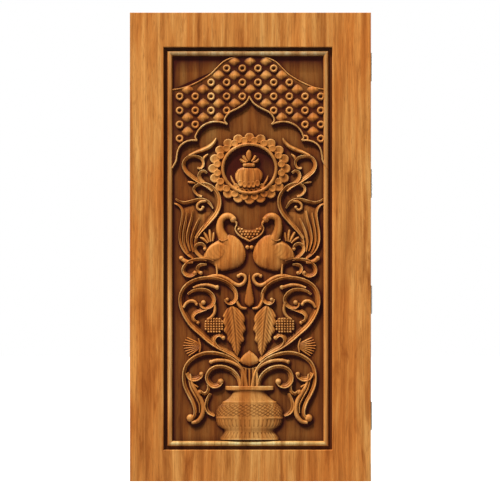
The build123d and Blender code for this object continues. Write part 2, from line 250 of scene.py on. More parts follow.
def grooveStain(tree):
    # painted shade where the border's recess and the moulding's groove lie deep, and a painted highlight
    # along the bead's crest
    place = addNode(tree, "ShaderNodeTexCoord").outputs["Object"]
    split = addNode(tree, "ShaderNodeSeparateXYZ", {0: place}).outputs
    depth = rangeNode(tree, split["Y"], faceY + recess["stainFrom"], faceY + recess["stainTo"],
                      kind="SMOOTHSTEP")
    crest = rangeNode(tree, split["Y"], faceY + recess["rubbedTo"], faceY + recess["rubbedAt"],
                      kind="SMOOTHSTEP")
    shaded = mathNode(tree, "MULTIPLY", depth, recess["deepest"] - recess["plain"])
    rubbed = mathNode(tree, "MULTIPLY", crest, recess["rub"])
    inside = mathNode(tree, "SUBTRACT", shaded, rubbed)
    # behind the recess floor the wood is the plain back
    inFront = mathNode(tree, "LESS_THAN", split["Y"], faceY + recess["floor"])
    inside = mathNode(tree, "MULTIPLY", inside, inFront)
    for socket, low, high in (("X", recessLow[0], recessHigh[0]), ("Z", recessLow[1], recessHigh[1])):
        middle, half = (low + high) / 2, (high - low) / 2 - recess["margin"]
        away = mathNode(tree, "ABSOLUTE", mathNode(tree, "SUBTRACT", split[socket], middle))
        inside = mathNode(tree, "MULTIPLY", inside, mathNode(tree, "LESS_THAN", away, half))
    return mathNode(tree, "ADD", inside, recess["plain"])


def hollowShade(tree):
    # painted shade where the carving is deeper than what stands round it, and a painted highlight on its
    # crests
    return addNode(tree, "ShaderNodeAttribute", attribute_name="hollow").outputs["Fac"]


steel = {
    "satin": {"tone": (0.56, 0.54, 0.51), "roughness": 0.32},
    "polished": {"tone": (0.66, 0.65, 0.63), "roughness": 0.2},
    "brushed": {"across": 900.0, "along": 40.0, "detail": 2.0},
    "darker": 0.82,
}


def steelMaterial(kind):
    material, tree = newMaterial(kind + " steel")
    tone, roughness = steel[kind]["tone"], steel[kind]["roughness"]
    place = addNode(tree, "ShaderNodeTexCoord").outputs["Object"]
    brushed = stretchedNoise(tree, place, **steel["brushed"])
    colour = rampNode(tree, brushed, [(0.3, tuple(steel["darker"] * c for c in tone)), (0.7, tone)])
    gloss = rangeNode(tree, brushed, low=roughness + 0.1, high=roughness - 0.05)
    shader = addNode(tree, "ShaderNodeBsdfPrincipled", {
        "Base Color": colour, "Metallic": 1.0, "Roughness": gloss})
    addNode(tree, "ShaderNodeOutputMaterial", {"Surface": shader.outputs[0]})
    return material


carvedWood = woodMaterial("carved wood", hollowShade)
# the top and bottom beads are lit and shaded copies of the border wood, with painted shade and painted light
railBeads = {"moulding_top": woodMaterial("shaded top bead wood", grooveStain, wood["topBead"]),
             "moulding_bottom": woodMaterial("lit bottom bead wood", grooveStain, wood["bottomBead"])}
finishes = {"wood_composite": woodMaterial("border wood", grooveStain),
            "hinge_steel": steelMaterial("satin"),
            "pin_steel": steelMaterial("polished")}
slotOf = {part["node"]: part["material_slot"] for part in frame["record"]["subparts"]}
for node, piece in frame["nodes"].items():
    for materialSlot in piece.material_slots:
        materialSlot.material = railBeads.get(node, finishes[slotOf[node]])
print("finishes assigned to", len(frame["nodes"]), "nodes")


# Smooth lines and outlines on the carving grid

def smoothRun(points, step=0.6):
    knots = np.array(points, float)
    if len(knots) == 2:
        count = max(int(np.linalg.norm(knots[1] - knots[0]) / step), 1)
        return knots[0] + (knots[1] - knots[0]) * np.linspace(0, 1, count + 1)[:, None]
    padded = np.vstack([2 * knots[0] - knots[1], knots, 2 * knots[-1] - knots[-2]])
    pieces = []
    for before, start, end, after in zip(padded, padded[1:], padded[2:], padded[3:]):
        count = max(int(np.linalg.norm(end - start) / step), 1)
        t = (np.arange(count) / count)[:, None]
        pieces.append(0.5 * (2 * start + (end - before) * t
                             + (2 * before - 5 * start + 4 * end - after) * t ** 2
                             + (3 * start - before - 3 * end + after) * t ** 3))
    return np.vstack(pieces + [knots[-1:]])


def outline(*runs):
    # each run is smooth, and the outline turns a corner from one run to the next
    return np.vstack([smoothRun(run, 0.8)[:-1] for run in runs])


def mirrored(points, axis=grid["axis"]):
    return [(2 * axis - x, y) for x, y in reversed(points)]


def insideOutline(points, loop):
    inside = np.zeros(len(points), bool)
    for (x0, y0), (x1, y1) in zip(loop, np.roll(loop, -1, axis=0)):
        if y0 == y1:
            continue
        crosses = (y0 > points[:, 1]) != (y1 > points[:, 1])
        inside ^= crosses & (points[:, 0] < (x1 - x0) * (points[:, 1] - y0) / (y1 - y0) + x0)
    return inside


def nearestOnEdge(points, loop):
    # for each point the nearest place on the outline, and how far it is
    best, nearest = np.full(len(points), 1e9), points.copy()
    for start, end in zip(loop, np.roll(loop, -1, axis=0)):
        along = end - start
        t = np.clip((points - start) @ along / max(float(along @ along), 1e-9), 0, 1)
        place = start + t[:, None] * along
        away = np.linalg.norm(points - place, axis=1)
        closer = away < best
        best[closer], nearest[closer] = away[closer], place[closer]
    return nearest, best


def edgeDistance(points, loop):
    return nearestOnEdge(points, loop)[1]


# The carving's meshes are gathered here, by piece
shells = {}


def keepShell(piece, vertices, faces, addedShade=None):
    # the extra values are painted shade for each vertex on top of the relief map's: mostly how deeply it lies
    # in a cut that is too fine for that map
    vertices = np.asarray(vertices, float)
    addedShade = np.zeros(len(vertices)) if addedShade is None else np.asarray(addedShade, float)
    shells.setdefault(piece, []).append((vertices, [tuple(f) for f in faces], addedShade))


def outwards(vertices, faces):
    # the same faces, turned so that a closed shell's normals point out of it
    corners = [(f[0], f[i], f[i + 1]) for f in faces for i in range(1, len(f) - 1)]
    a, b, c = (vertices[[t[k] for t in corners]] for k in range(3))
    volume = np.einsum("ij,ij->i", a, np.cross(b, c)).sum()
    return [tuple(reversed(f)) for f in faces] if volume < 0 else faces


def mirrorShell(vertices, faces):
    flipped = np.array(vertices, float)
    flipped[:, 0] = 2 * axisX - flipped[:, 0]
    return flipped, [tuple(reversed(face)) for face in faces]


rootDepth = 2.5 * mm
reliefScale = 1.15
# rows of filling points lie this far apart, and they keep this far from the outline, both in spacings
rowShare = 0.87
edgeShare = 0.45


def raisedShape(piece, loop, height, spacing=1.0, mirror=True):
    # fills an outline with points, raises them and closes the shell down to its root
    loop = np.asarray(loop, float)
    if np.sum(loop[:, 0] * np.roll(loop[:, 1], -1) - np.roll(loop[:, 0], -1) * loop[:, 1]) < 0:
        loop = loop[::-1]
    low, high = loop.min(axis=0), loop.max(axis=0)
    columns = np.arange(low[0] + spacing / 2, high[0], spacing)
    rows = np.arange(low[1] + spacing / 2, high[1], spacing * rowShare)
    field = np.array([(x + (i % 2) * spacing / 2, y) for i, y in enumerate(rows) for x in columns])
    if len(field):
        field = field[insideOutline(field, loop)]
        field = field[edgeDistance(field, loop) > edgeShare * spacing] if len(field) else field
    points = np.vstack([loop, field]) if len(field) else loop
    ring = [(i, (i + 1) % len(loop)) for i in range(len(loop))]
    flat, _, faces, *_ = delaunay_2d_cdt([Vector(p) for p in points], ring, [], 1, 1e-5)
    flat = np.array([tuple(p) for p in flat])
    rise, cut = height(flat, edgeDistance(flat, loop))
    vertices = np.column_stack([gridX(flat[:, 0]), floorY - rise * mm, gridZ(flat[:, 1])])
    base, _, under, *_ = delaunay_2d_cdt([Vector(p) for p in loop], ring, [], 1, 1e-5)
    base = np.array([tuple(p) for p in base])
    foot = np.column_stack([gridX(base[:, 0]), np.full(len(base), floorY + rootDepth), gridZ(base[:, 1])])
    offset = len(vertices)
    under = [tuple(offset + i for i in reversed(f)) for f in under]
    walls = [(b, a, offset + a, offset + b) for a, b in ring]
    vertices, faces = np.vstack([vertices, foot]), [tuple(f) for f in faces] + under + walls
    # the feet of the walls get full painted shade
    addedShade = np.concatenate([cut, np.ones(len(foot))])
    keepShell(piece, vertices, faces, addedShade)
    if mirror:
        keepShell(piece, *mirrorShell(vertices, faces), addedShade)


def domed(distance, roundOver):
    # 0 at an outline's edge, rounding up to 1 at that distance from it
    t = np.clip(distance / roundOver, 0, 1)
    return np.sqrt(1 - (1 - t) ** 2)


def pillow(edge, crest, roundOver):
    # a flat-topped cushion that rounds down to its edge
    def height(points, distance):
        return edge + (crest - edge) * domed(distance, roundOver), np.zeros(len(points))
    return height


def grooved(height, cut, depth):
    # a surface with cuts of that depth, with painted shade where they are deepest
    cut = np.clip(cut, 0, 1)
    return height - depth * cut, cut


# Strands: ribs that follow a line, cut to one of these sections.
# The first number runs across the strand in half widths, the second outwards from its crest.
# A section that starts left of the crest is used whole, the others are mirrored.
skirt = [(1.1, -1.6), (1.35, -7.0)]
sections = {
    "round": [(math.sin(math.radians(a)), math.cos(math.radians(a)) - 1) for a in range(0, 91, 18)],
    "flat": [(0.0, 0.0), (0.7, 0.0), (0.92, -0.06), (1.0, -0.2)],
    "ridge": [(0.0, 0.0), (0.14, -0.02), (0.5, -0.36), (0.85, -0.8), (1.0, -1.1)],
    "scooped": [(-1.0, -0.34), (-0.94, -0.1), (-0.82, 0.0), (-0.68, -0.05), (-0.56, -0.26), (-0.4, -0.44),
                (-0.24, -0.42), (-0.12, -0.36), (0.0, -0.42), (0.14, -0.6), (0.4, -0.78), (0.62, -0.8),
                (0.76, -0.78), (0.9, -0.9), (1.0, -1.15)],
}
sections["scoopedBack"] = [(-u, v) for u, v in reversed(sections["scooped"])]
segmentLength = 5.0 * mm


def rib(cut, half, crest, line, **ends):
    # half widths in grid steps and crests in millimetres, both spread evenly along the line
    return {"cut": cut, "half": half, "crest": crest, "line": line, **ends}


def newTree(name, inputs):
    tree = bpy.data.node_groups.new(name, "GeometryNodeTree")
    for label, kind in {"Geometry": "Geometry", **inputs}.items():
        tree.interface.new_socket(label, in_out="INPUT", socket_type="NodeSocket" + kind)
    tree.interface.new_socket("Geometry", in_out="OUTPUT", socket_type="NodeSocketGeometry")
    return tree, addNode(tree, "NodeGroupInput").outputs


def closeTree(tree, geometry, finish):
    real = addNode(tree, "GeometryNodeRealizeInstances", {0: geometry})
    painted = addNode(tree, "GeometryNodeSetMaterial", {"Geometry": real.outputs[0], "Material": finish})
    addNode(tree, "NodeGroupOutput", {0: painted.outputs[0]})
    return tree


def strandTree():
    tree, given = newTree("carved strand", {"Section": "Object", "Segment Length": "Float",
                                            "Root Level": "Float", "Mirror Axis": "Float",
                                            "Finish": "Material"})
    smooth = addNode(tree, "GeometryNodeCurveSplineType", {"Curve": given["Geometry"]},
                     spline_type="CATMULL_ROM")
    even = addNode(tree, "GeometryNodeResampleCurve", mode="LENGTH")
    feed(tree, even, {"Curve": smooth.outputs[0], "Length": given["Segment Length"]})
    facing = addNode(tree, "GeometryNodeSetCurveNormal", mode="FREE")
    feed(tree, facing, {"Curve": even.outputs[0], "Normal": (0.0, -1.0, 0.0)})
    section = addNode(tree, "GeometryNodeObjectInfo", {"Object": given["Section"]})
    sweep = addNode(tree, "GeometryNodeCurveToMesh", {
        "Curve": facing.outputs[0], "Profile Curve": section.outputs["Geometry"],
        "Scale": addNode(tree, "GeometryNodeInputRadius").outputs[0], "Fill Caps": True})

    # whatever reaches below the ground is cut off at the root level
    place = addNode(tree, "GeometryNodeInputPosition").outputs[0]
    split = addNode(tree, "ShaderNodeSeparateXYZ", {0: place}).outputs
    level = mathNode(tree, "MINIMUM", split["Y"], given["Root Level"])
    join = addNode(tree, "ShaderNodeCombineXYZ", {"X": split["X"], "Y": level, "Z": split["Z"]})
    rooted = addNode(tree, "GeometryNodeSetPosition", {
        "Geometry": sweep.outputs[0], "Position": join.outputs[0]}).outputs[0]

    # the same again on the other side of the axis
    twice = mathNode(tree, "MULTIPLY", given["Mirror Axis"], 2.0)
    offset = addNode(tree, "ShaderNodeCombineXYZ", {"X": twice})
    other = addNode(tree, "GeometryNodeTransform", {
        "Geometry": rooted, "Scale": (-1.0, 1.0, 1.0), "Translation": offset.outputs[0]})
    turned = addNode(tree, "GeometryNodeFlipFaces", {"Mesh": other.outputs[0]}).outputs[0]
    both = addNode(tree, "GeometryNodeJoinGeometry", {0: turned})
    feed(tree, both, {0: rooted})
    return closeTree(tree, both.outputs[0], given["Finish"])


def scatterTree():
    tree, given = newTree("carved repeat", {"Shape": "Object", "Finish": "Material"})
    shape = addNode(tree, "GeometryNodeObjectInfo", {"Object": given["Shape"]})
    size = addNode(tree, "GeometryNodeInputNamedAttribute", {"Name": "size"}, data_type="FLOAT_VECTOR")
    place = addNode(tree, "GeometryNodeInstanceOnPoints", {
        "Points": given["Geometry"], "Instance": shape.outputs["Geometry"],
        "Scale": size.outputs["Attribute"]})
    return closeTree(tree, place.outputs[0], given["Finish"])


strandWork, repeatWork = strandTree(), scatterTree()


def bakedShell(name, source, work, helper, **values):
    # runs a tree on a curve or points and gives the result as plain vertices and faces
    carrier = bpy.data.objects.new(name, source)
    for item in (carrier, helper):
        bpy.context.collection.objects.link(item)
    modifier = carrier.modifiers.new(name, "NODES")
    modifier.node_group = work
    for item in work.interface.items_tree:
        key = item.name.replace(" ", "")
        if item.item_type == "SOCKET" and item.in_out == "INPUT" and key in values:
            modifier[item.identifier] = values[key]
    bpy.context.view_layer.update()
    graph = bpy.context.evaluated_depsgraph_get()
    mesh = bpy.data.meshes.new_from_object(carrier.evaluated_get(graph))
    vertices = np.empty(len(mesh.vertices) * 3)
    mesh.vertices.foreach_get("co", vertices)
    faces = [tuple(face.vertices) for face in mesh.polygons]
    bpy.data.meshes.remove(mesh)
    for item in (carrier, helper):
        bpy.data.objects.remove(item)
    return vertices.reshape(-1, 3), faces


def polyCurve(name, runs):
    # each point of a run is (x, y, z, radius)
    curve = bpy.data.curves.new(name, "CURVE")
    curve.dimensions = "3D"
    for run in runs:
        spline = curve.splines.new("POLY")
        spline.points.add(len(run) - 1)
        for point, (x, y, z, radius) in zip(spline.points, run):
            point.co = (x, y, z, 1.0)
            point.radius = radius
    return curve


def sectionCurve(name):
    half = sections[name]
    right = [p for p in half if p[0] > 0] + skirt
    left = half if half[0][0] < 0 else [(-u, v) for u, v in reversed(half)]
    left = [(-u, v) for u, v in reversed(skirt)] + [p for p in left if p[0] <= 0]
    curve = polyCurve("section " + name, [[(v, u, 0.0, 1.0) for u, v in left + right]])
    curve.splines[0].use_cyclic_u = True
    return bpy.data.objects.new("section " + name, curve)


def strandRun(strand):
    line = np.array(strand["line"], float)
    run = np.concatenate([[0], np.cumsum(np.hypot(*np.diff(line, axis=0).T))])
    half, crest = (np.interp(run / run[-1], np.linspace(0, 1, len(strand[key])), strand[key])
                   for key in ("half", "crest"))
    return [(gridX(x), floorY - high * mm, gridZ(y), wide * step)
            for (x, y), wide, high in zip(line, half, crest)]


def carveStrands(piece, strands):
    for cut in sorted({strand["cut"] for strand in strands.values()}):
        curve = polyCurve(piece + " " + cut, [strandRun(s) for s in strands.values() if s["cut"] == cut])
        profile = sectionCurve(cut)
        vertices, faces = bakedShell("strands", curve, strandWork, profile, Section=profile,
                                     SegmentLength=segmentLength, RootLevel=floorY + rootDepth,
                                     MirrorAxis=axisX, Finish=carvedWood)
        keepShell(piece, vertices, outwards(vertices, faces))
    # round ends
    for name, end in (("knob", -1), ("startKnob", 0)):
        for strand in strands.values():
            if name in strand:
                carveBeads(piece, strand[name], strand["crest"][end] + 1.0, [strand["line"][end]])


def carveRepeats(piece, shape, places):
    vertices, faces = shape
    mesh = bpy.data.meshes.new("repeat")
    mesh.from_pydata([tuple(v) for v in vertices], [], outwards(np.array(vertices, float), faces))
    points = bpy.data.meshes.new("places")
    points.from_pydata([tuple(place["at"]) for place in places], [], [])
    layer = points.attributes.new("size", "FLOAT_VECTOR", "POINT")
    layer.data.foreach_set("vector", np.array([place["size"] for place in places], float).ravel())
    model = bpy.data.objects.new("repeat", mesh)
    keepShell(piece, *bakedShell("repeats", points, repeatWork, model, Shape=model, Finish=carvedWood))


def spot(column, row, size=1.0):
    return {"at": (gridX(column), floorY, gridZ(row)), "size": (size, 1.0, size)}


def withMirror(places):
    other = [{**place, "at": (2 * axisX - place["at"][0], *place["at"][1:])}
             for place in places if abs(place["at"][0] - axisX) > 0.5 * mm]
    return places + other


def turned(levels, half, sides, squareness=2.0):
    # A turned shape, its axis along -Y and its widest edge on the ground. Each level is a share of
    # the half width and half height, which are in grid steps, and a height in millimetres.
    vertices, faces = [], []
    for share, height in levels:
        for k in range(sides):
            x, z = math.cos(2 * math.pi * k / sides), math.sin(2 * math.pi * k / sides)
            reach = share * step * (abs(x) ** squareness + abs(z) ** squareness) ** (-1 / squareness)
            vertices.append((half[0] * reach * x, -height * mm, half[1] * reach * z))
    for ring in range(len(levels) - 1):
        for k in range(sides):
            a, b = ring * sides + k, ring * sides + (k + 1) % sides
            faces.append((a, b, b + sides, a + sides))
    faces.append(tuple(range(sides - 1, -1, -1)))
    faces.append(tuple(range((len(levels) - 1) * sides, len(levels) * sides)))
    return vertices, faces


def beadShape(radius, crest):
    # a bead on a straight foot, its radius in grid steps and its crest in millimetres
    drop = radius * step / mm
    return turned([(1.0, 0.0), (1.0, crest - 0.9 * drop), (0.86, crest - 0.42 * drop),
                   (0.55, crest - 0.1 * drop), (0.18, crest)], (radius, radius), 12)


def carveBeads(piece, radius, crest, places):
    carveRepeats(piece, beadShape(radius, crest), withMirror([spot(*place) for place in places]))


def placesInside(loop, first, pitch, stagger=0.0, room=0.0):
    # places of a regular pattern that lie inside the outline with that much room to its edge
    reach = range(-12, 13)
    places = np.array([(first[0] + (i + j % 2 * stagger) * pitch[0], first[1] + j * pitch[1])
                       for j in reach for i in reach])
    places = places[insideOutline(places, loop)]
    return [spot(*place) for place in places[edgeDistance(places, loop) > room]]


def backedGrid(points, columns, backY):
    # closes a grid of points, given row by row, with walls down to a flat back
    wide = columns + 1
    rows = len(points) // wide - 1
    faces = [(j * wide + i, j * wide + i + 1, (j + 1) * wide + i + 1, (j + 1) * wide + i)
             for j in range(rows) for i in range(columns)]
    rim = (list(range(wide)) + [j * wide + columns for j in range(1, rows + 1)]
           + [rows * wide + i for i in range(columns - 1, -1, -1)]
           + [j * wide for j in range(rows - 1, 0, -1)])
    start, count = len(points), len(rim)
    vertices = np.array(points + [(points[i][0], backY, points[i][2]) for i in rim], float)
    faces += [(rim[(k + 1) % count], rim[k], start + k, start + (k + 1) % count) for k in range(count)]
    faces.append(tuple(range(start + count - 1, start - 1, -1)))
    return vertices, outwards(vertices, faces)


# The ground: the board that everything is carved from
groundSpacing = 5.0 * mm
groundColumns = int((panelHigh.x - panelLow.x) / groundSpacing)
groundRows = int((panelHigh.z - panelLow.z) / groundSpacing)
groundPoints = [(x, floorY, z) for z in np.linspace(panelLow.z, panelHigh.z, groundRows + 1)
                for x in np.linspace(panelLow.x, panelHigh.x, groundColumns + 1)]
keepShell("carvedGround", *backedGrid(groundPoints, groundColumns, panelHigh.y))

# The pierced-looking lattice over the arch
lattice = {
    "plateEdge": 3.0,
    "plateHeight": 3.5,
    "plateRound": 1.2,
    "plateStain": 0.5,
    "cleanEdge": 1.5,
    "side": [(172, 168), (172, 89.6)],
    "topEdge": [(172.0, 89.6), (181, 88.2), (190, 85.3), (200, 80.5), (210, 74.3), (217, 67.5),
                (223, 61.8), (230, 58.3), (239, 56), (249.5, 55.4)],
    "lobes": [
        [(249.5, 96), (248, 99.5), (244.5, 103.8), (238, 108), (230, 112), (226, 116.5), (224.6, 120.5),
         (227.3, 124.3)],
        [(227.3, 124.3), (223, 122.6), (216, 121.5), (209, 122.6), (203, 125.6), (199, 129.5),
         (196.4, 134), (195.3, 137.5), (197, 140.3)],
        [(197, 140.3), (191.5, 140.2), (186, 141.6), (181, 145), (178, 150), (176.8, 156), (176, 161),
         (172.0, 168)],
    ],
    "pitch": (15.7, 14.05),
    "firstStud": (179.6, 68.3),
    "studHalf": (3.95, 3.95),
    "studHeight": 10.0,
    "studRoom": 1.5,
    "bossHalf": (6.3, 5.5),
    "bossHeight": 10.0,
    "bossSquareness": 1.3,
    "bossRoom": 0.8,
}


def latticeLoop():
    top, side, lobes = lattice["topEdge"], lattice["side"], lattice["lobes"]
    return outline(top + mirrored(top)[1:], mirrored(side)[::-1],
                   *[mirrored(lobe) for lobe in reversed(lobes)], *lobes, side)


def plateRise(points, distance):
    # painted shade lies on the plate between the studs, and less along its edges
    height = lattice["plateHeight"] - lattice["plateEdge"]
    return (lattice["plateEdge"] + height * domed(distance, lattice["plateRound"]),
            lattice["plateStain"] * np.clip(distance / lattice["cleanEdge"], 0, 1))


print("lattice plate")
plateLoop = latticeLoop()
raisedShape("latticePlate", plateLoop, plateRise, spacing=2.4, mirror=False)
rim = {f"lobe {i}": rib("round", [0.75], [12.0], lobe) for i, lobe in enumerate(lattice["lobes"])}
rim["top edge"] = rib("round", [0.55], [6.5], lattice["topEdge"])
carveStrands("latticePlate", rim)

print("lattice studs and bosses")
studTop, bossTop, plateTop = lattice["studHeight"], lattice["bossHeight"], lattice["plateHeight"]
stud = turned([(1.02, -1.0), (1.0, studTop - 5.0), (0.94, studTop - 2.6), (0.82, studTop - 0.6),
               (0.7, studTop), (0.58, studTop - 0.9), (0.47, studTop - 3.4), (0.4, plateTop + 1.0),
               (0.1, plateTop)], lattice["studHalf"], 22)
# a four-sided point with hollow sides, its corners up, down, left and right
boss = turned([(1.0, 0.0), (0.97, plateTop), (0.82, bossTop - 5.2), (0.58, bossTop - 3.0),
               (0.3, bossTop - 1.2), (0.1, bossTop - 0.2), (0.03, bossTop)],
              lattice["bossHalf"], 16, lattice["bossSquareness"])
firstBoss = [first - pitch / 2 for first, pitch in zip(lattice["firstStud"], lattice["pitch"])]
studs = placesInside(plateLoop, lattice["firstStud"], lattice["pitch"], room=lattice["studRoom"])
bosses = placesInside(plateLoop, firstBoss, lattice["pitch"], room=lattice["bossRoom"])
carveRepeats("latticeStuds", stud, studs)
carveRepeats("latticeStuds", boss, bosses)


def keepInside(points, loop):
    # what stands over the edge is drawn back to it, as if the pattern were cut off there
    flat = np.column_stack([points[:, 0] / step + grid["leafMiddle"], grid["leafFoot"] - points[:, 2] / step])
    out = ~insideOutline(flat, loop)
    flat[out] = nearestOnEdge(flat[out], loop)[0]
    points[:, 0], points[:, 2] = gridX(flat[:, 0]), gridZ(flat[:, 1])


for points, *_ in shells["latticeStuds"]:
    keepInside(points, plateLoop)
print(len(studs), "studs and", len(bosses), "bosses")


# The round frame of petals
medallion = {
    "centre": (249.5, 168.5),
    "ringHalf": (26.8, 24.4),
    "bedHalf": (31.4, 27.4),
    "petals": 20,
    "petalPath": (36.2, 31.0),
    "petalHalf": (5.1, 4.7),
    "petalCrest": 8.5,
    "underPath": (32.6, 28.4),
    "underHalf": (4.0, 3.6),
    "underCrest": 9.8,
    "bowlRise": 0.6,
    "bowlStain": 0.95,
}


def ellipse(half, start, end, count):
    # points round the medallion, from one angle in degrees to another
    angles = np.radians(np.linspace(start, end, count))
    x, y = medallion["centre"]
    return [(x + half[0] * math.sin(a), y - half[1] * math.cos(a)) for a in angles]


def scoopedPetal(half, crest):
    # a round petal with a raised lip and a scooped middle
    return turned([(1.0, 2.0), (0.97, crest - 1.8), (0.9, crest - 0.4), (0.8, crest), (0.68, crest - 0.5),
                   (0.5, crest - 1.1), (0.25, crest - 1.6), (0.06, crest - 1.7)], half, 18)


print("medallion")
petals = medallion["petals"]
for row, turn in (("petal", 0.0), ("under", 180 / petals)):
    path = ellipse(medallion[row + "Path"], 180 - turn, -180 - turn, petals + 1)[:-1]
    carveRepeats("medallion", scoopedPetal(medallion[row + "Half"], medallion[row + "Crest"]),
                 [spot(*place) for place in path])
carveStrands("medallion", {
    "ring": rib("round", [1.6], [13.5], ellipse(medallion["ringHalf"], 0, -180, 19)),
    "bed": rib("flat", [4.4], [5.0], ellipse(medallion["bedHalf"], 0, -180, 19)),
})


# The pot in the medallion's bowl: ribbed body, neck ring, bud and leaves
pot = {
    "axis": 249.0,
    "middle": 178.0,
    "half": (14.0, 11.5),
    "body": [(249.0, 167.2), (243, 167.4), (238, 169.5), (235.3, 174), (235.6, 179), (238.5, 184.5),
             (243.5, 188.3), (249.0, 189.4)],
    "ribs": 7,
    "neck": [[(243.2, 163.2), (249, 162.7), (254.8, 163.2)], [(254.8, 163.2), (255.3, 165), (254.8, 166.8)],
             [(254.8, 166.8), (249, 167.4), (243.2, 166.8)], [(243.2, 166.8), (242.7, 165), (243.2, 163.2)]],
    "bud": [[(249, 149), (246.6, 152), (246, 156), (247, 159.5), (249, 162)],
            [(249, 162), (251, 159.5), (252, 156), (251.4, 152), (249, 149)]],
    "petalRows": [{"half": (2.5, 2.6), "crest": 9.5, "aside": 3, "pitch": 4.4, "row": 188.6, "bow": 0.28},
                  {"half": (2.5, 3.4), "crest": 13.2, "aside": 2, "pitch": 4.3, "row": 184.6, "bow": 0.35}],
    "leaves": {
        "crown leaf": rib("ridge", [1.8, 2.2, 1], [11, 11.5, 10.5], [
            (247.4, 161.5), (244.6, 158.4), (243.2, 155.4)]),
        "crown foot": rib("ridge", [1.6, 2, 0.8], [10.5, 11, 9.5], [
            (246.3, 162.3), (242.4, 161.2), (240.2, 158.9)]),
        "side leaf": rib("ridge", [0.5, 1.5, 1.6, 0.6], [6, 8, 8, 6], [
            (230.8, 175.5), (232.3, 180), (235.5, 185), (240.5, 189.5)]),
    },
}


def potHeight(points, distance):
    across = (points[:, 0] - pot["axis"]) / pot["half"][0]
    down = (points[:, 1] - pot["middle"]) / pot["half"][1]
    dome = np.sqrt(np.clip(1 - across ** 2 * 0.9 - down ** 2 * 0.75, 0.02, 1))
    slant = np.arcsin(np.clip(across / np.sqrt(np.clip(1 - down ** 2 * 0.8, 0.1, 1)), -0.99, 0.99))
    ribs = np.abs(np.sin(slant * pot["ribs"]))
    return grooved(3.0 + 10.5 * dome * np.clip(distance / 1.2, 0.3, 1),
                   0.45 * (1 - ribs) ** 2 * np.clip(distance, 0, 1), 2.0)


def bowlHeight(points, distance):
    # the bowl behind the pot gets a painted shadow, darkest towards its upper left under the ring
    aside, down = (points - np.array(medallion["centre"])).T
    shade = np.clip(0.8 - 0.016 * aside - 0.014 * down, 0.2, 1) * medallion["bowlStain"]
    return np.full(len(points), medallion["bowlRise"]), shade


print("pot")
potBody = outline(pot["body"], mirrored(pot["body"], pot["axis"]))
for loop, height, spacing in ((ellipse(medallion["ringHalf"], 0, -360, 49)[:-1], bowlHeight, 2.0),
                              (potBody, potHeight, 0.8),
                              (outline(*pot["neck"]), pillow(4.0, 12.5, 1.6), 0.8),
                              (outline(*pot["bud"]), pillow(3.0, 13.0, 2.2), 0.8)):
    raisedShape("medallion", loop, height, spacing, mirror=False)
carveStrands("medallion", pot["leaves"])
for row in pot["petalRows"]:
    places = [spot(pot["axis"] + row["pitch"] * k, row["row"] - row["bow"] * k * k)
              for k in range(-row["aside"], row["aside"] + 1)]
    carveRepeats("medallion", scoopedPetal(row["half"], row["crest"]), places)


